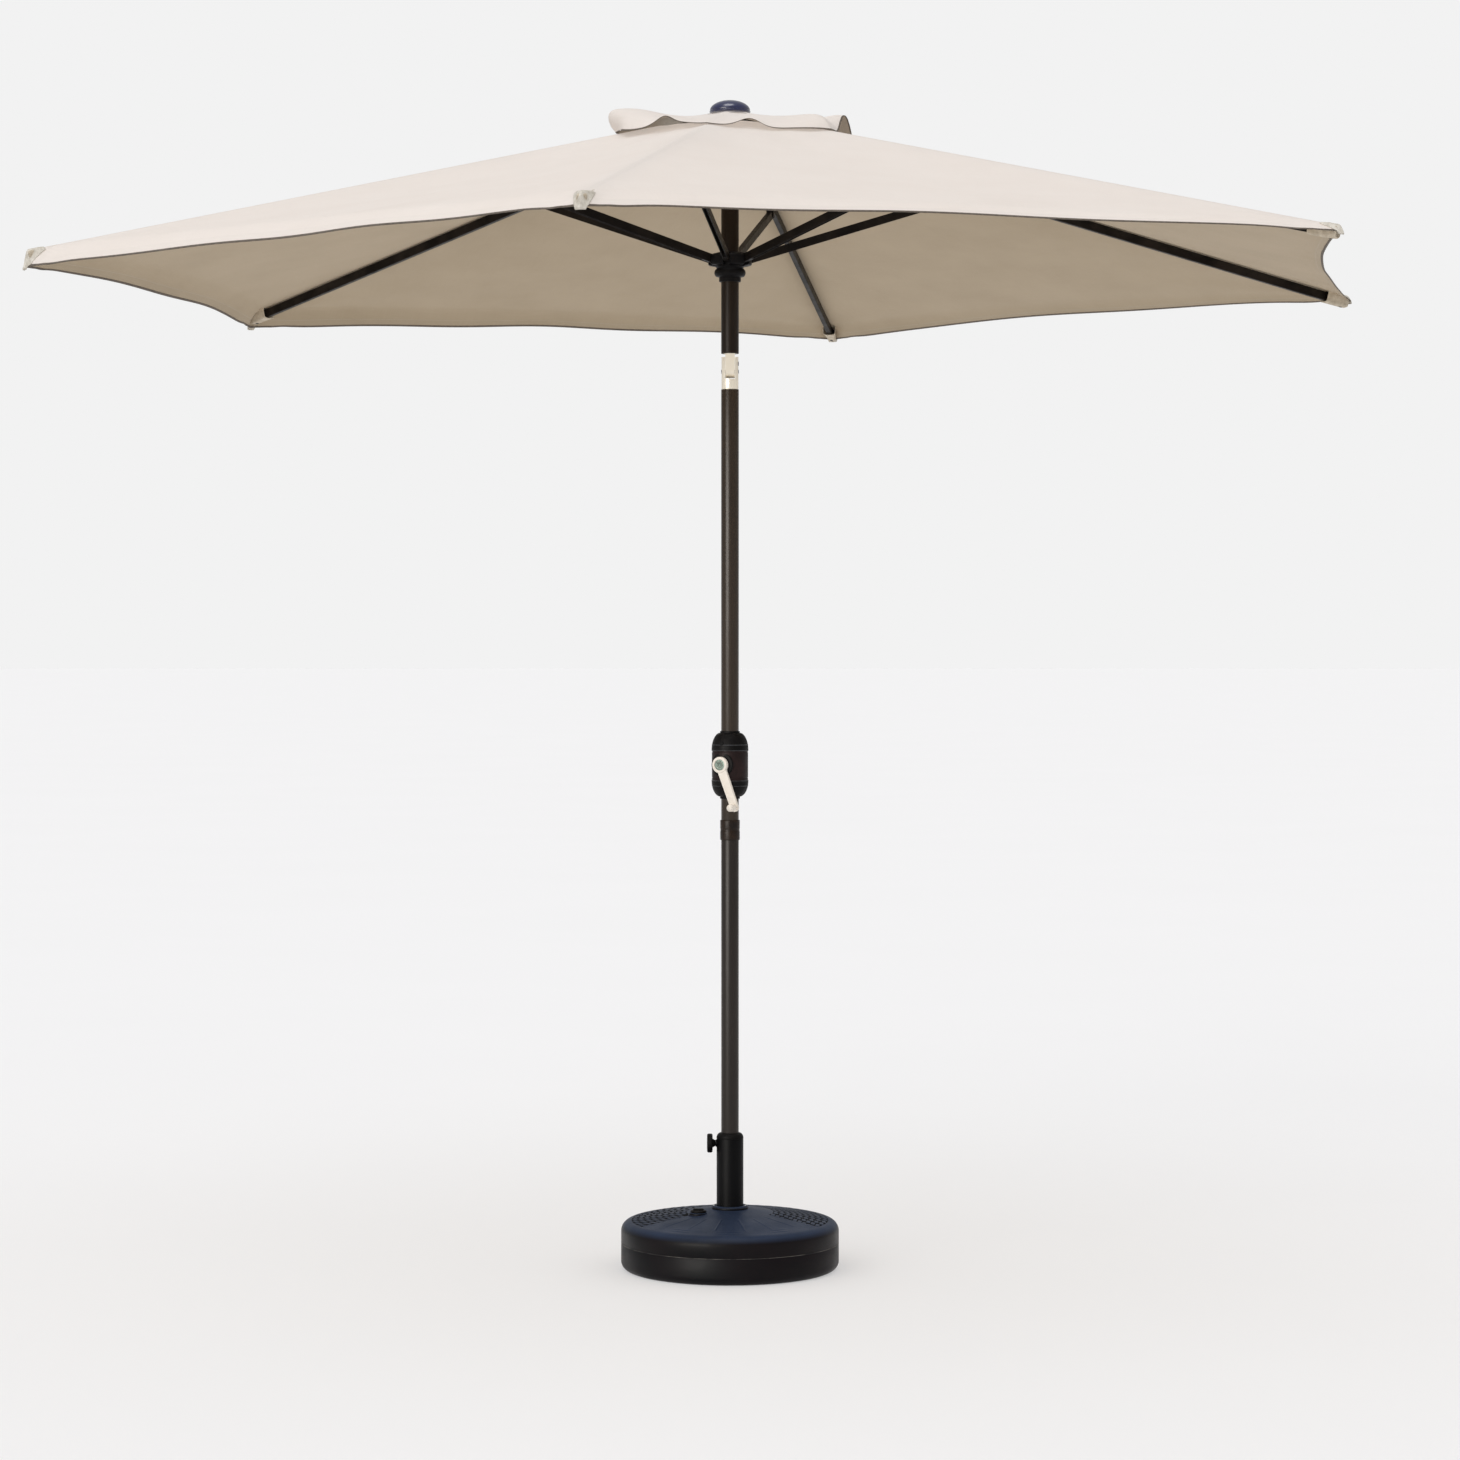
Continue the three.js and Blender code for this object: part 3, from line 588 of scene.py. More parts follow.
def buildBase():
    s = baseShape
    radius, rim = s["radius"], s["rim"]
    shoulder = arc((radius - 22, rim - 22), (22, 22), 0, 82, 12)
    footRound = arc((radius - 18, 18), (18, 18), -90, 0, 10)
    part = s["partingHeight"]
    wall = [(radius, part - 2.2), (radius - 0.9, part - 0.6), (radius - 0.9, part + 0.6), (radius, part + 2.2)]
    profile = [(29.6, 0.0), *footRound, *wall, *shoulder]
    last = shoulder[-1]
    sides = 720
    radii = np.linspace(last[0], 42.0, 118)[1:]
    points, faces, gaps = [], [], []
    rows = [*profile, *[(r, None) for r in radii], (29.6, s["top"]), (29.6, 0.0)]
    for r, z in rows:
        for k in range(sides):
            a = 2 * math.pi * k / sides
            x, y = r * math.cos(a), r * math.sin(a)
            if z is None:
                level = s["top"] + (last[1] - s["top"]) * (r - 42) / (last[0] - 42)
                rise = weaveHeight(x, y)
                points.append((x, y, level + rise))
                front = abs((math.degrees(a) + 90 + 180) % 360 - 180)
                woven = s["ringFrom"] - 7 < r < s["ringFrom"] + s["ringStep"] * (s["ringCount"] - 0.5)
                # gap weight: 1 in the low gaps between raised dashes, which the material darkens as painted shade
                gaps.append(max(0.0, 1 - rise / 0.4) if woven and front > s["plainSector"] + 2 else 0.0)
            else:
                points.append((x, y, z))
                gaps.append(0.0)
    for i in range(len(rows) - 1):
        for k in range(sides):
            a, b = i * sides + k, i * sides + (k + 1) % sides
            faces.append((a, b, b + sides, a + sides))
    tank = piece("base_shell", points, faces, ["basePlastic"], "base", sharp=55, slot="base_plastic", gaps=gaps)
    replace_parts(tank, "base_tank")

    flash = wireRing(radius - 0.5, 0.55, part, 360, 8)
    piece("parting_flash", *flash, ["seamFlash"], "base", slot="base_plastic")

    boss = turned([(14.2, 116), (19.5, 116), (19.5, 126.4), (18.4, 127.4), (14.2, 127.4), (14.2, 116)], 64, 0.6)
    lip = wireRing(21.5, 1.2, 121.8, 64)
    move = Matrix.Translation((-68, -42, 0))
    made = piece("filler_boss", *placed(merged([boss, lip]), move), ["basePlastic"], "base", slot="base_plastic")
    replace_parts(made, "base_tank")
    plug = turned(
        [(0, 114), (13.5, 114), (13.5, 127.5), (17, 127.7), (17.2, 130.4), (15.8, 132), (11, 132.4), (0, 132.2)],
        96,
        0.5,
        lobes=lambda a: 1 + 0.012 * math.cos(24 * a),
    )
    grip = plate([(-12, 131), (12, 131), (11.2, 135.2), (9.8, 136), (-9.8, 136), (-11.2, 135.2)], 5)
    made = piece("cap_plug", *placed(merged([plug, grip]), move), ["blackPlastic"], "cap", slot="black_plastic", bevel=0.5)
    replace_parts(made, "filler_cap")

    foot = [(29.4, 130.2), (39.6, 130.2), (39.5, 133.6), (37.6, 136.4), (35.2, 137), (29.4, 137), (29.4, 130.2)]
    made = piece("tube_foot_ring", *turned(foot, 120, 0.8), ["basePlastic"], "base", slot="base_plastic")
    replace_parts(made, "socket_collar")
    tubeProfile = [(26, 8.5), (29, 8.5), (29, 283), (26, 283), (26, 8.5)]
    made = piece("socket_pipe", *turned(tubeProfile, 128, 0.5), ["blackMetal"], "base", slot="black_metal")
    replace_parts(made, "socket_tube")
    cheek = arc((20, 283.4), (9, 11), 0, 80, 8)
    bush = [(19.5, 252), (25.6, 252), (25.6, 283.4), (29.2, 283.4), (29.2, 285), *cheek[1:], (19.5, 294.8), (19.5, 252)]
    made = piece("top_reducer", *turned(bush, 128, 0.4), ["blackPlastic"], "base", slot="black_plastic")
    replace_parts(made, "reducer_bush")

    screw = turned([(0, 19.8), (4, 19.8), (4, 30), (5.5, 30.4), (9.5, 37.2), (9.5, 38), (0, 38)], 48, 0.3)
    face = [(0, 37.6), (18.4, 37.6), (20.5, 39.8), (20.5, 47.2), (18.6, 49.4), (13, 49.7), (11.8, 48.4), (0, 48.2)]
    disc = turned(face, 144, 0.9, lobes=lambda a: 1 - 0.016 * (1 - abs(math.cos(9 * a))))
    nut = turned([(0, 24.9), (8.2, 24.9), (8.2, 29.2), (0, 29.2)], 6, 0.4)
    nutPlace = along((-1, 0, 0), (0, 0, 271.5))
    made = piece("knob_and_screw", *placed(merged([screw, disc]), nutPlace), ["blackPlastic"], "knob", slot="black_plastic")
    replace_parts(made, "clamp_knob")
    piece("knob_nut", *placed(turned([(4.6, 28.7), (8.6, 28.7), (8.6, 31.2), (4.6, 31.2), (4.6, 28.7)], 6, 0.3), nutPlace), ["blackMetal"], "base", slot="black_metal")
    # two fixing screws of the foot ring, bright
    heads = []
    for angle in (190, -10, 90):
        a = math.radians(angle)
        head = turned([(0, 136.6), (3.6, 136.6), (3.4, 138.2), (2.2, 139), (0, 139.2)], 24, 0.3)
        heads.append(placed(head, Matrix.Translation((34.6 * math.cos(a), 34.6 * math.sin(a), 0))))
    piece("ring_screws", *merged(heads), ["steel"], "base", slot="steel")
    print("base made")


# ---- mast, crank, tilt


def buildMast():
    inner = poleRadius - 1.5

    def pipe(low, high):
        return turned([(inner, low), (poleRadius, low), (poleRadius, high), (inner, high), (inner, low)], 128, 0.4)

    parts = {
        "pole_lower": ("lower_pole", pipe(8.5, 950), "mast", "lowerCoat"),
        "pole_middle": ("middle_pole", pipe(950.5, 1898), "mast", "bronzeCoat"),
        "pole_upper": ("upper_pole", pipe(1975, 2450), "head", "upperCoat"),
    }
    for name, (nodeName, shape, body, look) in parts.items():
        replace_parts(piece(name, *shape, [look], body, slot="bronze_metal"), nodeName)
    collar = [(19.2, 928), (20.6, 928), (21.2, 929.5), (21.2, 946), (20.7, 947), (20.7, 952), (21.2, 953)]
    collar += [(21.2, 969.5), (20.6, 971), (19.2, 971), (19.2, 928)]
    made = piece("joint_collar", *turned(collar, 128, 0.4), ["collarCoat"], "mast", slot="bronze_metal")
    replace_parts(made, "pole_collar")


def crankFrame():
    return Matrix.Translation((0, 0, crankHeight)) @ turnZ(-crankTurn) @ Matrix.Rotation(math.radians(90), 4, "X")


def buildCrank():
    rise = 18.0
    low = arc((21, crankHeight - 31), (rise, 37.5), -90, 0, 14)
    high = arc((21, crankHeight + 29), (rise, 37.5), 0, 90, 14)
    grooves = []
    for z in (1059.0, 1062.5, 1118.0):
        grooves += [(39, z - 1.3), (38.2, z - 0.6), (38.2, z + 0.6), (39, z + 1.3)]
    bore = poleRadius + 0.4
    profile = [(bore, low[0][1]), *low, *grooves, *high]
    for z in (high[4][1],):
        pass
    profile += [(bore, high[-1][1]), (bore, low[0][1])]
    facing = crankFrame()
    seam = -90.0 - crankTurn
    for name, nodeName, start in (("housing_half_left", "housing_left", seam - 179.55), ("housing_half_right", "housing_right", seam + 0.45)):
        shell = turned(profile, 72, 0.35, start, 179.1)
        bossCut = placed(rod(7.2, 30, 32, 0), facing @ Matrix.Translation((0, 0, 24)))
        made = piece(name, *combined(shell, bossCut), ["housingPlastic"], "mast", sharp=40, slot="black_plastic")
        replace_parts(made, nodeName)
    # two raised bands, the plate and boss the shaft comes out of, and the screws
    bands = []
    # the raised rings take a light grey colour, a painted highlight
    for z, r in ((1133.5, 38.75), (1121.6, 39.5), (1056.4, 39.5), (1045.0, 38.65)):
        bands.append(wireRing(r, 0.7, z, 144, 8))
    piece("housing_ledges", *merged(bands), ["ledgeGrey"], "mast", slot="black_plastic")
    caps = []
    for z, start, end in ((crankHeight + 31, 0, 82), (crankHeight - 35, 0, -82)):
        outer = arc((21, z), (18.7, 37.2 if end > 0 else 34.4), start, end, 14)
        inside = arc((21, z), (17.6, 35.9 if end > 0 else 33.1), start, end, 14)
        caps.append(turned([*outer, *inside[::-1], outer[0]], 120, 0.0))
    piece("housing_caps", *merged(caps), ["blackPlastic"], "mast", slot="black_plastic")
    plateProfile = [(7.4, 34), (25.5, 34), (25.5, 37.4), (23.6, 38.4), (18.4, 38.8), (18.2, 40.3), (7.4, 40.3), (7.4, 34)]
    shaftPlate = placed(turned(plateProfile, 96, 0.5), facing)
    screws = []
    for x, y in ((0, 46), (0, -44)):
        head = turned([(0, 33), (3.6, 33), (3.6, 39.6), (2.4, 40.2), (0, 40.2)], 24, 0.3)
        screws.append(placed(head, facing @ Matrix.Translation((x, y, 0))))
    piece("housing_trim", *shaftPlate, ["blackPlastic"], "mast", slot="black_plastic")
    piece("housing_screws", *merged(screws), ["blackMetal"], "mast", slot="steel")
    collars = []
    for z, turn in ((low[0][1] - 5.5, 0), (high[-1][1] + 0.5, 0)):
        collars.append(turned([(19.1, z), (21.4, z), (21.4, z + 5), (19.1, z + 5), (19.1, z)], 96, 0.9))
    piece("housing_gaskets", *merged(collars), ["blackPlastic"], "mast", slot="black_plastic")

    dx, dy = math.sin(crankLean), -math.cos(crankLean)
    tip = (crankReach * dx, crankReach * dy)
    side = (-dy, dx)

    def at(forward, across):
        return (forward * dx + across * side[0], forward * dy + across * side[1])

    lean = math.degrees(math.atan2(dy, dx))
    outline = [at(4, 9.9), at(4, -9.9), at(70, -9.0)]
    outline += arc(tip, (8.8, 8.8), lean - 90, lean + 90, 14) + [at(70, 9.0)]
    up = Matrix(((1, 0, 0, 0), (0, 0, 1, 0), (0, 1, 0, 0), (0, 0, 0, 1)))  # the outline's second number is up
    bar = placed(plate(outline, 7.0, 45.9), up)
    panelOutline = [at(24, 5.6), at(24, -5.6), at(76, -5.0), at(76, 5.0)]
    hollow = placed(plate(panelOutline, 2.4, 49.8), up)
    hub = turned([(0, 41), (15.5, 41), (17.5, 42.6), (17.5, 50), (16.4, 51.2), (12.4, 51.2), (11.8, 50.6), (11.8, 49.2), (0, 49.2)], 96, 0.4)
    hole = Matrix.Translation((*tip, 40)) @ Matrix.Identity(4)
    bar = combined(combined(bar, hollow), placed(rod(4.3, 20, 32, 0), hole))
    arm = combined(bar, placed(rod(15, 30, 48, 0), Matrix.Translation((0, 0, 35))))
    made = piece("crank_bar", *placed(arm, facing), ["castSilver"], "crank", slot="aluminium" if False else None, bevel=0.9)
    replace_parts(made, "crank_arm")
    made = piece("crank_hub", *placed(hub, facing), ["castSilver"], "crank")
    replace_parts(made, "crank_arm")
    bolt = turned([(0, 49), (6.2, 49), (6.2, 50.4), (5.2, 51), (3.4, 50.9), (3.2, 49.7), (0, 49.7)], 48, 0.3)
    washer = turned([(6.8, 49), (11.4, 49), (11.4, 49.7), (6.8, 49.7), (6.8, 49)], 64, 0.2)
    piece("crank_bolt", *placed(merged([bolt, washer]), facing), ["boltZinc"], "crank", slot="steel")
    gripProfile = [(0, 42.6), (3.8, 42.6), (3.8, 49.8), (6.6, 49.9), (7.4, 51.4), (8.2, 55), (8.0, 60), (7.5, 64)]
    gripProfile += arc((0, 68), (7.9, 5), 0, 84, 8) + [(0, 73)]
    made = piece("crank_handle", *placed(turned(gripProfile, 64, 0.3), facing @ Matrix.Translation((*tip, 0))), ["castSilver"], "grip")
    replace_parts(made, "crank_grip")
    print("mast and crank made")


def buildTilt():
    inner = poleRadius - 1.5

    def across(radius, low, high, height, sides=48, ease=0.0):
        shape = turned([(0, low), (radius, low), (radius, high), (0, high)], sides, ease)
        return placed(shape, along((1, 0, 0), (0, 0, height)))

    crown = []
    for x in arc((0, tiltHeight), (31.5, 31.5), 0, 90, 20):
        crown.append(x)
    body = turned([(0, 1850), (inner - 0.3, 1850), (inner - 0.3, 1898.4), (18, 1898.4), (18, 1970.5), (0, 1970.5)], 96, 0.3)
    domeSide = [(-40.0, 1840.0), (40.0, 1840.0), (40.0, tiltHeight)]
    domeSide = [(-31.5, 1840.0), (31.5, 1840.0), *arc((0, tiltHeight), (31.5, 31.5), 0, 180, 40)]
    dome = placed(plate(domeSide, 60), turnZ(90))
    body = combined(body, dome, "INTERSECT")
    body = combined(body, block((-10.6, -30, 1920.5), (10.6, 30, 2100)))
    body = combined(body, turned([(0, 1800), (12, 1800), (12, tiltHeight), (0, tiltHeight)], 48, 0))
    body = combined(body, merged([across(4.3, -40, 40, tiltHeight), across(5.4, 5, 30, tiltHeight + 17)]))
    made = piece("tilt_fork", *body, ["aluminium"], "mast", sharp=40, slot="bare_aluminium", bevel=0.35)
    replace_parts(made, "tilt_clevis")

    half, top = 13.5, 2020.0
    profile = [*arc((0, tiltHeight), (half, half), 180, 360, 28), (half, top), (-half, top)]
    tongue = placed(plate(profile, 20.4), turnZ(90))
    tongue = combined(tongue, turned([(0, 1976), (17.2, 1976), (17.2, 2015), (0, 2015)], 96, 0.4), "UNION")
    cordAngle = math.radians(110)
    bore = placed(rod(2.6, 240, 24, 0), Matrix.Translation((8.5 * math.cos(cordAngle), 8.5 * math.sin(cordAngle), 1880)))
    tongue = combined(tongue, merged([bore, across(4.3, -40, 40, tiltHeight)]))
    made = piece("tilt_blade", *tongue, ["aluminium"], "head", sharp=40, slot="bare_aluminium", bevel=0.35)
    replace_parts(made, "tilt_tongue")
    pin = turned([(0, -18.8), (3.9, -18.8), (4.6, -18.3), (4, -18.1), (4, 18.1), (4.6, 18.3), (3.9, 18.8), (0, 18.8)], 48, 0.1)
    made = piece("tilt_rivet", *placed(pin, along((1, 0, 0), (0, 0, tiltHeight))), ["steel"], "mast", slot="steel")
    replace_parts(made, "tilt_pin")
    button = turned([(0, 13.5), (5, 13.5), (5, 17.9), (4.2, 18.7), (0, 18.8)], 48, 0.4)
    made = piece("release_button", *placed(button, along((1, 0, 0), (0, 0, tiltHeight + 17))), ["blackPlastic"], "button", slot="black_plastic")
    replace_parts(made, "tilt_button")
    print("tilt made")


# ---- hub, finial, runner


def slots(low, high, half, inner=31.4):
    cuts = []
    for i in range(ribCount):
        cuts.append(placed(block((inner, -half, low), (70, half, high)), turnZ(ribAzimuth(i))))
    return merged(cuts)


def buildHeadAndRunner():
    z = ribPivot
    bore = poleRadius + 0.4
    hub = [(0, 2452), (bore, 2452), (bore, 2450), (28, 2450), (31, 2454), (31, z - 13), (48.8, z - 13), (50, z - 11.6)]
    hub += [(50, z + 2.4), (48.6, z + 4), (33, z + 5.6), (29, z + 14), (0, z + 14)]
    cord = placed(block((6.3, -2, 2400), (26.7, 2, z - 4)), turnZ(110))
    hub = combined(turned(hub, 144, 0.5), slots(2400, 2600, 6.6))
    hub = combined(hub, merged([cord, turned([(0, 2473.5), (4.4, 2473.5), (4.4, 2600), (0, 2600)], 32, 0)]))
    made = piece("hub_body", *hub, ["blackPlastic"], "head", slot="black_plastic", bevel=0.4)
    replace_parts(made, "top_hub")
    pins = []
    for i in range(ribCount):
        pin = placed(turned([(0, -7.2), (3, -7.2), (3, 7.2), (0, 7.2)], 32, 0.2), along((0, 1, 0), (pivotRadius, 0, z)))
        pins.append(placed(pin, turnZ(ribAzimuth(i))))
    made = piece("hub_pins", *merged(pins), ["steel"], "head", slot="steel")
    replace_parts(made, "top_hub")

    foot = 2490.5
    dome = [(0, foot - 15), (4, foot - 15), (4, foot), (41, foot), (43.2, foot + 0.8), (44, foot + 2.8), (43.4, foot + 4.6)]
    dome += [(42.4, foot + 5.2), *arc((0, foot + 5.5), (43.2, 22), 2, 88, 26), (0, foot + 27.5)]
    made = piece("finial_dome", *turned(dome, 144, 0.3), ["finialGloss"], "head", slot="finial_gloss")
    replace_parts(made, "finial")

    z = runnerHeight
    bore = poleRadius + 0.7
    bead = arc((28, z - 29.5), (5.6, 8.5), -74, 74, 14)
    runner = [(bore, z - 49), (22.6, z - 49), (23.5, z - 47.6), (23.5, z - 39), *bead, (28.6, z - 20), (31, z - 16)]
    runner += [(45.6, z - 13.4), (47, z - 11.6), (47, z + 5), (45.4, z + 8), (41, z + 10.6), (31, z + 13), (28, z + 14)]
    runner += [(bore, z + 14), (bore, z - 49)]
    made = piece("runner_body", *combined(turned(runner, 144, 0.5), slots(z - 18, z + 40, 6.8)), ["blackPlastic"], "runner", slot="black_plastic", bevel=0.4)
    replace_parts(made, "runner")
    print("hub and runner made")


# ---- ribs and struts


ribShape = {"width": 12.0, "depth": 20.0, "length": 1490.0, "strutAt": 511.0, "strutDrop": 22.0, "strutWidth": 11.2}


def ribPlace(i):
    lie = Matrix.Rotation(ribSlope, 4, "Y")
    return turnZ(ribAzimuth(i)) @ Matrix.Translation((pivotRadius, 0, ribPivot)) @ lie


def buildRibs():
    s = ribShape
    half = s["depth"] / 2
    outline = [*arc((0, 0), (half, half), 90, 270, 18), (s["length"], -half), (s["length"], half)]
    bar = plate(outline, s["width"])
    pinHoles = placed(turned([(0, -20), (3.4, -20), (3.4, 20), (0, 20)], 32, 0), along((0, 1, 0)))
    bar = combined(bar, pinHoles)
    at, drop = s["strutAt"], s["strutDrop"]
    lug = [(at - 20, 6), (at - 14, -4), *arc((at, -drop), (9, 9), 200, 340, 14), (at + 14, -4), (at + 20, 6)]
    lugs = merged([plate(lug, 2.2, 7.15), plate(lug, 2.2, -7.15)])
    rivets = []
    for x, z, length in ((at, -drop, 17.6), (at - 9, 1, 17.8), (at + 9, 1, 17.8)):
        body = turned([(0, -length / 2), (3.4, 0.9 - length / 2), (3.8, 1.4 - length / 2), (2.4, 1.6 - length / 2)]
            + [(2.4, length / 2 - 1.6), (3.8, length / 2 - 1.4), (3.4, length / 2 - 0.9), (0, length / 2)], 32, 0.1)
        rivets.append(placed(body, along((0, 1, 0), (x, 0, z))))
    end = s["length"]
    tip = [(end - 14, -11.4), *arc((end + 1, 0), (6, 11.4), -90, 90, 16), (end - 14, 11.4)]
    capShape = combined(plate(tip, 15.6), block((end - 19, -6.2, -half - 0.2), (end + 0.2, 6.2, half + 0.2)))
    button = placed(turned([(0, 11.2), (4.4, 11.2), (4.4, 13), (3.4, 13.8), (0, 14)], 32, 0.3), Matrix.Translation((end - 5, 0, 0)) @ Matrix.Rotation(math.pi, 4, "X"))

    jointX = pivotRadius + at * math.cos(ribSlope) - drop * math.sin(ribSlope)
    jointZ = ribPivot - at * math.sin(ribSlope) - drop * math.cos(ribSlope)
    length = math.hypot(jointX - pivotRadius, jointZ - runnerHeight)
    climb = math.atan2(jointZ - runnerHeight, jointX - pivotRadius)
    ends = [*arc((0, 0), (9, 9), 90, 270, 16), *arc((length, 0), (9, 9), -90, 90, 16)]
    strut = plate(ends, s["strutWidth"])
    strut = combined(strut, block((20, -3.6, -12), (length - 20, 3.6, 4.6)))
    holes = [placed(turned([(0, -20), (2.9, -20), (2.9, 20), (0, 20)], 24, 0), along((0, 1, 0), (x, 0, 0))) for x in (0, length)]
    strut = combined(strut, merged(holes))

    pocketSide = []
    for k in range(25):  # the webbing pocket the rib's tip sits in, a loop round the cap
        a = 2 * math.pi * k / 24
        c, d = math.cos(a), math.sin(a)
        pocketSide.append((math.copysign(abs(c) ** 0.45, c), math.copysign(abs(d) ** 0.5, d)))
    pocket = []
    for x, wide, tall, thick in ((end - 50, 15.5, 12.9, 0.7), (end - 24, 10.8, 12.9, 0.7), (end - 3, 9.6, 12.6, 0.7), (end + 6, 9.2, 11.6, 0.7), (end + 9.4, 7.5, 9.4, 0.9)):
        pocket.append((x, wide, tall, thick))
    points, faces = [], []
    for x, wide, tall, thick in pocket:
        for layer in (0.0, thick):
            for c, d in pocketSide[:-1]:
                top = min(d * (tall + layer), 12.2 + layer * 0.2)
                points.append((x, c * (wide + layer), top))
    n = 24
    for r in range(len(pocket) - 1):
        for layer in (0, 1):
            for k in range(n):
                a = (2 * r + layer) * n + k
                b = (2 * r + layer) * n + (k + 1) % n
                face = (a, b, b + 2 * n, a + 2 * n)
                faces.append(face if layer else face[::-1])
    for k in range(n):
        faces.append((k, (k + 1) % n, (k + 1) % n + n, k + n))
    last = 2 * (len(pocket) - 1) * n
    faces += [tuple(range(last, last + n)), tuple(range(last + 2 * n - 1, last + n - 1, -1))]
    pocketShape = (points, faces)

    for i in range(ribCount):
        place, body = ribPlace(i), f"rib_{i + 1}"
        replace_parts(piece(f"rib_bar_{i + 1}", *placed(bar, place), ["ribCoat"], body, slot="bronze_metal", bevel=1.4), body)
        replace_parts(piece(f"rib_bracket_{i + 1}", *placed(lugs, place), ["ribCoat"], body, slot="bronze_metal", bevel=0.5), body)
        piece(f"rib_rivets_{i + 1}", *placed(merged(rivets), place), ["steel"], body, slot="steel")
        made = piece(f"rib_cap_{i + 1}", *placed(merged([capShape, button]), place), ["blackPlastic"], body, slot="black_plastic", bevel=1.0)
        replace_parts(made, f"rib_tip_{i + 1}")
        piece(f"tip_pocket_{i + 1}", *placed(pocketShape, place), ["pocketBand"], body, sharp=60, slot="canopy_cloth")
        strutPlace = turnZ(ribAzimuth(i)) @ Matrix.Translation((pivotRadius, 0, runnerHeight)) @ Matrix.Rotation(-climb, 4, "Y")
        made = piece(f"strut_channel_{i + 1}", *placed(strut, strutPlace), ["ribCoat"], f"strut_{i + 1}", slot="bronze_metal", bevel=0.8)
        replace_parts(made, f"strut_{i + 1}")
    print("ribs and struts made")


# ---- cloth


canopy = {
    "lift": 13.5,
    "inner": 170.0,
    "outer": 1512.0,
    "hollow": 50.0,
    "sag": 17.0,
    "droop": 19.0,
    "droopLeft": 13.0,
    "droopWidth": 62.0,
    "fromPlane": 2.2,
    "rows": 92,
    "stripColumns": 10,
    "panelColumns": 34,
    "tape": 1.0,
}
vent = {
    "inner": 40.0,
    "outer": 279.0,
    "hollow": 7.0,
    "above": 3.2,
    "sag": 5.2,
    "puffs": ((-158, 25, 70), (-104, 24, 6), (-24, 28, 52), (60, 36, 24), (118, 34, 30)),
    "openings": ((-126, 7.5, 25), (-115, 11, 10), (-80, 8, 20), (3, 11, 60), (48, 14, 18), (108, 15, 20)),
    "pushes": ((-143, 9, 32), (12, 12, 12)),
    "rolls": ((-167, 18, 1.0), (60, 30, 0.3), (168, 18, 0.3)),
    "fromPlane": 5.6,
    "rows": 40,
    "stripColumns": 6,
    "panelColumns": 26,
    "tape": 0.7,
}


def ribLine(reach):
    return ribPivot + 12.4 / math.cos(ribSlope) - (reach - pivotRadius) * math.tan(ribSlope)


def bow(away):
    return away * (2 - away)


def folds(x, y):
    # slack in the stretched cloth: pulls running in from each corner, soft ripples near the middle
    total = np.zeros_like(x)
    for i in range(ribCount):
        a = math.radians(ribAzimuth(i))
        tipX, tipY = 1476 * math.cos(a), 1476 * math.sin(a)
        dx, dy = tipX - x, tipY - y
        d = np.hypot(dx, dy)
        turn = np.arctan2(dy, dx) - a
        turn = (turn + math.pi) % (2 * math.pi) - math.pi
        pull = np.exp(-d / 330) * (1 - np.exp(-((d / 90) ** 2)))
        total += 2.6 * pull * np.sin(11 * np.abs(turn) + 1.1 + 0.7 * i) * np.minimum(1, np.abs(turn) * 6)
    r = np.hypot(x, y)
    angle = np.arctan2(y, x)
    total += 1.1 * np.exp(-(((r - 330) / 190) ** 2)) * np.sin(18 * angle + 0.9)
    total += 1.5 * np.exp(-(((r - 900) / 420) ** 2)) * np.sin(x / 143 + 0.6 * np.sin(y / 201)) * np.sin(y / 171 + 0.4)
    return total


def canopyPoint(t, away, side, azimuth, gapNumber):
    hem = canopy["outer"] - canopy["hollow"] / math.cos(math.pi / 6) * bow(away)
    reach = canopy["inner"] + (hem - canopy["inner"]) * t
    x, y = reach * (1 - away / 4), reach * (math.sqrt(3) / 4) * away * side
    share = (reach - canopy["inner"]) / (canopy["outer"] - canopy["inner"])
    z = ribPivot + canopy["lift"] / math.cos(ribSlope) - (reach - pivotRadius) * math.tan(ribSlope)
    z = z - canopy["sag"] * np.sin(math.pi * np.clip(share, 0, 1) ** 0.8) * bow(away)
    a = math.radians(azimuth)
    wx, wy = x * math.cos(a) - y * math.sin(a), x * math.sin(a) + y * math.cos(a)
    slack = folds(wx, wy) * np.minimum(1, away * 9)
    angle = np.arctan2(wy, wx)
    slack = slack + 2.4 * np.exp(-(1 - t) * 20) * bow(away) * np.sin(14 * angle + 1.3 * np.sin(3 * angle))
    # the edge hangs a little, and over each rib's end only past its cap
    fromHem = (1 - t) * (hem - canopy["inner"])
    hangs = canopy["droop"] - canopy["droopLeft"] * np.cos(angle)
    wide = canopy["droopWidth"] * (1 - 0.88 * np.exp(-((y / 20) ** 2)))
    hanging = hangs * np.clip(1 - fromHem / wide, 0, 1) ** 1.6
    return x, y, z + slack - hanging, fromHem


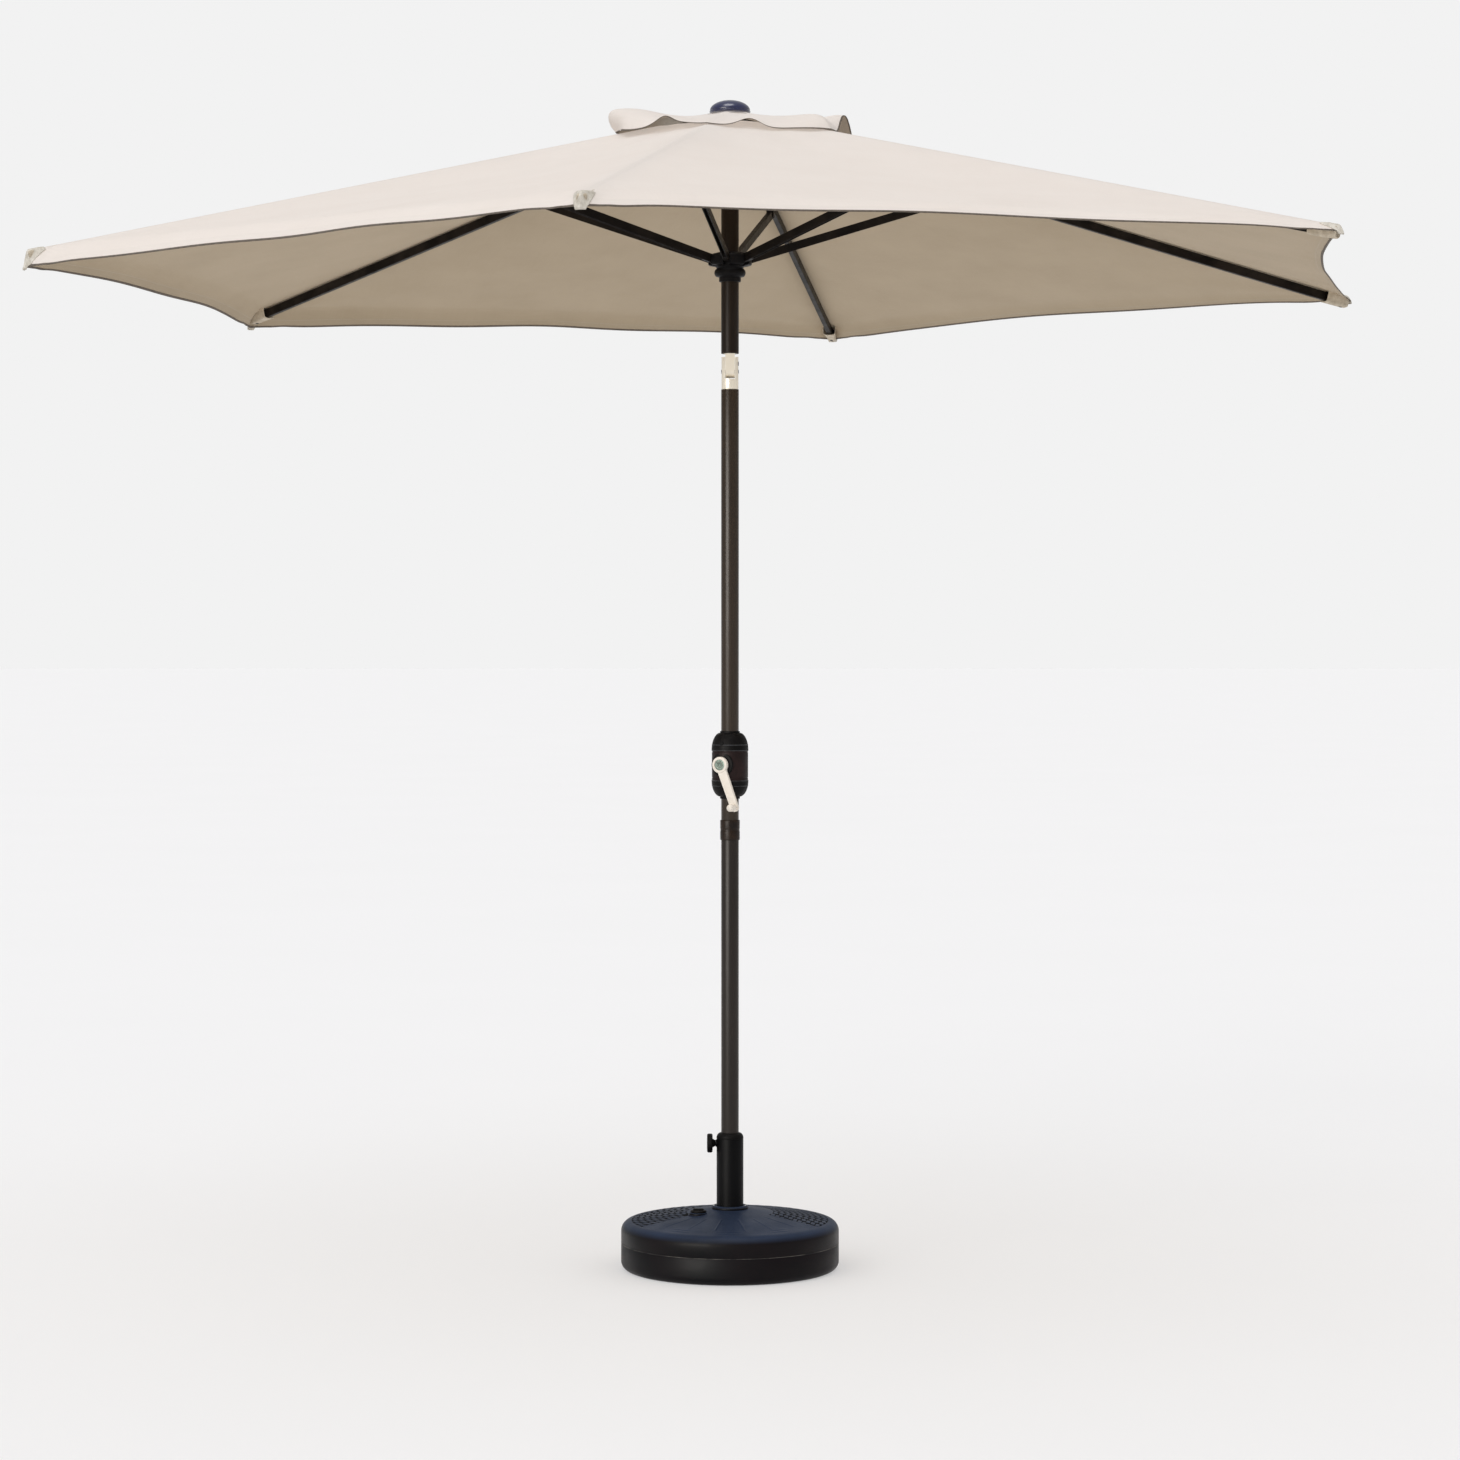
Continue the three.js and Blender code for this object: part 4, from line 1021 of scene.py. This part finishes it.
def ventPoint(t, away, side, azimuth, gapNumber):
    hem = vent["outer"] - vent["hollow"] * bow(away)
    reach = vent["inner"] + (hem - vent["inner"]) * t
    x, y = reach * (1 - away / 4), reach * (math.sqrt(3) / 4) * away * side
    crown, foot = 2488.6, ribLine(vent["outer"]) + vent["above"]
    share = np.clip((reach - 44) / (vent["outer"] - 44), 0, 1)
    a = math.radians(azimuth)
    angle = np.degrees(np.arctan2(x * math.sin(a) + y * math.cos(a), x * math.cos(a) - y * math.sin(a)))

    def humps(those):
        total = 0.0
        for at, width, height in those:
            off = (angle - at + 180) % 360 - 180
            total = total + height * np.exp(-((off / width) ** 2))
        return total

    z = crown + (foot - crown) * share - vent["sag"] * share * bow(away)
    z = z + humps(vent["puffs"]) * 1.25 * share**2 * (1 - share**8) + humps(vent["openings"]) * share**3.2
    # blown up, the cloth bulges past its own hem; elsewhere the hem is pushed down the slope
    rolled = humps(vent["rolls"]) * (24 * np.exp(-(((share - 0.88) / 0.13) ** 2)) - 36 * share**22)
    pushed = humps(vent["pushes"]) * share**3
    grow = 1 + (rolled + pushed) / np.maximum(reach, 1)
    z = z - (pushed + rolled * share**22) * math.tan(ribSlope)
    x, y = x * grow, y * grow
    return x, y, z, (1 - t) * (hem - vent["inner"])


def foldPlane(side, fromPlane):
    # the plane between two closed ribs, taken back to where it lies on the open rib
    c, s = math.cos(fullFold), math.sin(fullFold)
    away = Vector((-0.5, side * math.sqrt(3) / 2, 0))
    back = Matrix(((c, 0, -s), (0, 1, 0), (s, 0, c)))
    start = Vector((pivotRadius, 0, ribPivot))
    return start + back @ (away * -fromPlane - start), back @ away


def clothEdges(point, size, side, azimuth, gapNumber):
    # how far across the rib's own strip reaches before the cloth belongs to the wing
    anchor, normal = foldPlane(side, size["fromPlane"])
    t = np.linspace(0, 1, size["rows"] + 1)
    low, high = np.zeros_like(t), np.full_like(t, 0.9)
    for _ in range(48):
        middle = (low + high) / 2
        x, y, z, _ = point(t, middle, side, azimuth, gapNumber)
        beyond = (x - anchor[0]) * normal[0] + (y - anchor[1]) * normal[1] + (z - anchor[2]) * normal[2] > 0
        high, low = np.where(beyond, middle, high), np.where(beyond, low, middle)
    return t, (low + high) / 2, anchor, normal


def clothPiece(name, grid, place, body, cloth="cloth", tape=1.0):
    # grid: rows of (x, y, z, distance from the seam, distance from the hem, panel's middle azimuth)
    rows, columns = len(grid), len(grid[0])
    points = [g[:3] for row in grid for g in row]
    faces, which = [], []
    for i in range(rows - 1):
        for j in range(columns - 1):
            a = i * columns + j
            faces.append((a, a + columns, a + columns + 1, a + 1))
            which.append(0)
    start = len(points)
    loop = [(0.6, 0.9), (1.4, 0.0), (0.6, -0.9), (-3.6, -0.8), (-4.2, 0.0), (-3.6, 0.8)]
    loop = [(forward * tape, lift * tape) for forward, lift in loop]
    last = grid[-1]
    before = grid[-2]
    for j in range(columns):
        here, inside = Vector(last[j][:3]), Vector(before[j][:3])
        out = (here - inside).normalized()
        up = Vector((0, 0, 1))
        for forward, lift in loop:
            points.append(tuple(here + out * forward + up * lift))
    n = len(loop)
    for j in range(columns - 1):
        for k in range(n):
            a, b = start + j * n + k, start + j * n + (k + 1) % n
            faces.append((a, a + n, b + n, b))
            which.append(1)
    world = [tuple(place @ Vector(p)) for p in points]
    made = piece(name, world, faces, [cloth, "darkHemEdge"], None, sharp=0, closed=False, which=which)
    mesh = made.data
    weave, edges = mesh.uv_layers.new(name="Weave"), mesh.uv_layers.new(name="Edges")
    flat = [g for row in grid for g in row]
    for face in mesh.polygons:
        middle = flat[face.vertices[1]][5] if face.vertices[1] < start else last[0][5]
        if face.vertices[0] < start:
            middle = flat[face.vertices[2] if flat[face.vertices[2]][5] is not None else face.vertices[0]][5]
        turnBack = turnZ(-middle)
        for loopIndex, v in zip(face.loop_indices, face.vertices):
            spot = turnBack @ Vector(world[v])
            weave.data[loopIndex].uv = (spot.y * 0.001, spot.x * 0.001)
            g = flat[v] if v < start else last[min((v - start) // n, columns - 1)]
            edges.data[loopIndex].uv = (g[3] * 0.001, g[4] * 0.001)
    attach(made, body)
    return made


def clothArea(grid):
    g = np.array([[p[:3] for p in row] for row in grid])
    a, b = g[1:, :-1] - g[:-1, :-1], g[:-1, 1:] - g[:-1, :-1]
    c, d = g[1:, :-1] - g[1:, 1:], g[:-1, 1:] - g[1:, 1:]
    area = np.linalg.norm(np.cross(a, b), axis=2).sum() / 2 + np.linalg.norm(np.cross(c, d), axis=2).sum() / 2
    return area * 1e-6


def cutSize(grid):
    # the flat cut: its width and length along the piece's own middle, and its area, 0.3 % before stretch
    g = np.array([[p[:3] for p in row] for row in grid])
    lengthwise = np.linalg.norm(g[-1].mean(0) - g[0].mean(0))
    lengthwise = max(lengthwise, np.linalg.norm(g[-1, 0] - g[0, 0]), np.linalg.norm(g[-1, -1] - g[0, -1]))
    wide = max(np.linalg.norm(row[-1] - row[0]) for row in g)
    return (wide * 0.001, lengthwise * 0.001), clothArea(grid) / 1.003


def declareSheet(grid, rests):
    size, area = cutSize(grid)
    return area


def buildCover(size, point, label, nodePrefix, rests, cloth):
    total = 0.0
    for i in range(ribCount):
        azimuth, body = ribAzimuth(i), f"rib_{i + 1}"
        place = turnZ(azimuth)
        strip = None
        for side in (-1, 1):
            gapNumber = i if side > 0 else (i - 1) % ribCount
            t, edge, anchor, normal = clothEdges(point, size, side, azimuth, gapNumber)
            middle = azimuth + 30 * side

            def line(away):
                x, y, z, fromHem = point(t, away, side, azimuth, gapNumber)
                return [(x[k], y[k], z[k], y[k], fromHem[k], middle) for k in range(len(t))]

            inner = [line(edge * c) for c in np.linspace(0, 1, size["stripColumns"] + 1)]
            if side < 0:
                strip = inner[::-1]
            else:
                strip = strip + inner[1:]
            wing = [line(edge + (1 - edge) * c) for c in np.linspace(0, 1, size["panelColumns"] + 1)]
            if side < 0:
                wing = wing[::-1]
            grid = [[column[k] for column in wing] for k in range(len(t))]
            made = clothPiece(f"{label}_panel_{i + 1}_{'ab'[side > 0]}", grid, place, body, cloth, size["tape"])
            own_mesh(made)
            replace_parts(made, f"{nodePrefix}_{i + 1}")
            total += declareSheet(grid, rests(i))
        grid = [[column[k] for column in strip] for k in range(len(strip[0]))]
        made = clothPiece(f"{label}_strip_{i + 1}", grid, place, body, cloth, size["tape"])
        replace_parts(made, f"{nodePrefix}_{i + 1}")
        total += declareSheet(grid, rests(i))
    print(f"{label}: {total:.3f} square metres of cloth")


patch = {"from": -7.0, "to": 30.0, "half": 19.0, "above": 1.9}


def buildPatches():
    # a stitched webbing patch on each corner, lying on the cloth
    s = patch
    for i in range(ribCount):
        azimuth = ribAzimuth(i)
        place = turnZ(azimuth)
        rows, columns = 12, 20
        points = []
        for r in range(rows + 1):
            for c in range(columns + 1):
                off = s["half"] * (1 - 0.5 * (1 - r / rows) ** 2) * (2 * c / columns - 1)
                side = 1 if off >= 0 else -1
                fromHem = s["from"] + (s["to"] - s["from"]) * r / rows
                hangs = max(0.0, -fromHem)
                fromHem = max(fromHem, 0.0)
                reach = canopy["outer"] - fromHem
                away = abs(off) / (reach * math.sqrt(3) / 4)
                hem = canopy["outer"] - canopy["hollow"] / math.cos(math.pi / 6) * bow(away)
                t = (reach - canopy["inner"]) / (hem - canopy["inner"])
                x, y, z, _ = canopyPoint(np.array([t]), np.array([away]), side, azimuth, i)
                pucker = 0.35 * math.sin(c * 1.9 + i) * math.sin(r * 1.3)
                out = 2.2 * min(1.0, hangs / 3)
                points.append(tuple(place @ Vector((x[0] + out, y[0], z[0] + s["above"] * (1 - min(1.0, hangs / 3)) + pucker - hangs))))
        n = columns + 1
        faces = [(r * n + c, r * n + c + 1, (r + 1) * n + c + 1, (r + 1) * n + c) for r in range(rows) for c in range(columns)]
        made = piece(f"corner_patch_{i + 1}", points, faces, ["webbing"], f"rib_{i + 1}", sharp=0, closed=False, slot="canopy_cloth")
        thick = made.modifiers.new("Webbing", "SOLIDIFY")
        thick.thickness, thick.offset = 0.0009, 0.0


def buildCrown():
    # the middle of the vent cap, clamped under the finial
    grid = []
    for r in np.linspace(5, 56, 8):
        row = []
        for k in range(73):
            a = math.radians(5 * k)
            away = abs(((5 * k - firstRib) % 60) - 30)
            reach = r / (1 - (1 - math.cos(math.radians(30 - away))) * 0.0)
            share = max(0.0, (reach - 44) / (vent["outer"] - 44))
            z = 2487.3 + (ribLine(vent["outer"]) + 5.2 - 2488.6) * share
            row.append((r * math.cos(a), r * math.sin(a), z, 100.0, 100.0, 0.0))
        grid.append(row)
    made = clothPiece("vent_crown", grid, Matrix.Identity(4), "head", "ventCloth", 0.3)


# ---- lifting cord


def curveCord(name, route, body, nodeName):
    data = bpy.data.curves.new(name, "CURVE")
    data.dimensions = "3D"
    line = data.splines.new("POLY")
    line.points.add(len(route) - 1)
    for spot, p in zip(line.points, route):
        spot.co = (*[0.001 * c for c in p], 1)
    data.bevel_depth, data.bevel_resolution, data.use_fill_caps = 0.0015, 3, True
    data.materials.append(finish["cordBraid"])
    made = bpy.data.objects.new(name, data)
    scene.collection.objects.link(made)
    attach(made, body)
    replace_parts(made, nodeName)
    length = sum((Vector(b) - Vector(a)).length for a, b in zip(route, route[1:])) * 0.001
    return length


def smoothLine(spots, steps=10):
    # a smooth run through listed points
    spots = [Vector(p) for p in spots]
    line = []
    for i in range(len(spots) - 1):
        a, b = spots[max(i - 1, 0)], spots[i]
        c, d = spots[i + 1], spots[min(i + 2, len(spots) - 1)]
        for k in range(steps):
            t = k / steps
            line.append(0.5 * ((2 * b) + (c - a) * t + (2 * a - 5 * b + 4 * c - d) * t * t + (3 * b - a - 3 * c + d) * t**3))
    line.append(spots[-1])
    return [tuple(p) for p in line]


def buildCord():
    a = math.radians(110)

    def at(r, z):
        return (r * math.cos(a), r * math.sin(a), z)

    lower = [(-7.95, 4.05, crankHeight), (-7.6, 4.6, 1130), (-4.6, 7.1, 1300), at(8.5, 1500), at(8.5, tiltHeight - 13.8)]
    upper = [at(8.5, tiltHeight - 10.5), at(8.5, 2395)]
    upper += [at(16.5 + 8 * math.cos(b), 2455 + 8 * math.sin(b)) for b in np.linspace(math.pi, 0, 9)]
    drop = [at(24.5, 2454.6), at(24.5, runnerHeight + 60), at(24.5, runnerHeight + 14.4)]
    made = [
        curveCord("cord_in_mast", smoothLine(lower), "mast", "lift_cord_lower"),
        curveCord("cord_in_head", smoothLine(upper[:2], 6) + upper[2:], "head", "lift_cord_upper"),
        curveCord("cord_to_runner", smoothLine(drop), "runner", "lift_cord_drop"),
    ]
    print("cord lengths", [round(x, 4) for x in made])


buildBase()
buildMast()
buildCrank()
buildTilt()
buildHeadAndRunner()
buildRibs()
buildCover(canopy, canopyPoint, "canopy", "canopy_gore", lambda i: f"rib_bar_{i + 1}", "cloth")
buildCover(vent, ventPoint, "vent", "vent_gore", lambda i: "hub_body", "ventCloth")
buildPatches()
buildCrown()
buildCord()

# CAD solids that stay: hidden ones take their finish too
kept = {"ballast": "fill", "joint_sleeve": "steel", "crank_spool": "steel"}
for name, look in kept.items():
    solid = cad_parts[name]
    solid.data.materials.clear()
    solid.data.materials.append(finish[look])
    solid.data.polygons.foreach_set("use_smooth", [True] * len(solid.data.polygons))
    solid.data.set_sharp_from_angle(angle=math.radians(35))


# ---- floor, light, camera


def buildStage():
    mesh = bpy.data.meshes.new("floor")
    mesh.from_pydata([(-60, -20, 0), (60, -20, 0), (60, 160, 0), (-60, 160, 0)], [], [(0, 1, 2, 3)])
    made, tree = newMaterial("paleFloor")
    place = node(tree, "TexCoord").outputs["Object"]
    shade = mixed(tree, noise(tree, place, 0.7, 3.0), rgb("f3f3f4"), rgb("f1f1f2"))
    shader = node(tree, "BsdfDiffuse", {"Color": shade}).outputs[0]
    node(tree, "OutputMaterial", {"Surface": shader})
    mesh.materials.append(made)
    floor = bpy.data.objects.new("floor", mesh)
    scene.collection.objects.link(floor)

    world = bpy.data.worlds.new("studio")
    scene.world = world
    world.use_nodes = True
    tree = world.node_tree
    tree.nodes.clear()
    seen = node(tree, "Background", {"Color": rgb("f2f2f2"), "Strength": 1.0}).outputs[0]
    lit = node(tree, "Background", {"Color": rgb("f8f8f8"), "Strength": 0.5}).outputs[0]
    ray = node(tree, "LightPath").outputs["Is Camera Ray"]
    node(tree, "OutputWorld", {"Surface": node(tree, "MixShader", {0: ray, 1: lit, 2: seen}).outputs[0]})

    lights = {
        "key": {"from": (-0.9, -2.2, 8.5), "power": 0.14, "angle": 70.0, "colour": (1.0, 0.992, 0.986)},
        "lift": {"from": (-0.9, -2.6, 8.5), "power": 1.5, "angle": 40.0, "colour": (1.0, 0.992, 0.986), "soft": True},
        "fill": {"from": (-5.0, -7.0, 2.6), "power": 0.5, "angle": 50.0, "colour": (1.0, 0.99, 0.98)},
        "card": {"from": (-5.9, -8.1, 0.9), "power": 2.5, "angle": 34.0, "colour": (1.0, 0.95, 0.88), "shineOnly": True},
    }
    for name, light in lights.items():
        data = bpy.data.lights.new(name, "SUN")
        data.energy, data.angle, data.color = light["power"], math.radians(light["angle"]), light["colour"]
        data.use_shadow = not light.get("soft", False)
        made = bpy.data.objects.new(name, data)
        made.visible_diffuse = not light.get("shineOnly", False)
        made.rotation_mode = "QUATERNION"
        made.rotation_quaternion = Vector(light["from"]).to_track_quat("Z", "Y")
        scene.collection.objects.link(made)

    data = bpy.data.cameras.new("camera")
    data.lens, data.sensor_width = 91.9, 36.0
    data.clip_start, data.clip_end = 0.1, 300
    camera = bpy.data.objects.new("camera", data)
    camera.location = (0, -8.037, 1.363)
    camera.rotation_euler = (math.radians(90 - 1.41), 0, 0)
    scene.collection.objects.link(camera)
    scene.camera = camera
    scene.view_settings.view_transform = "Standard"
    print("stage made")


buildStage()
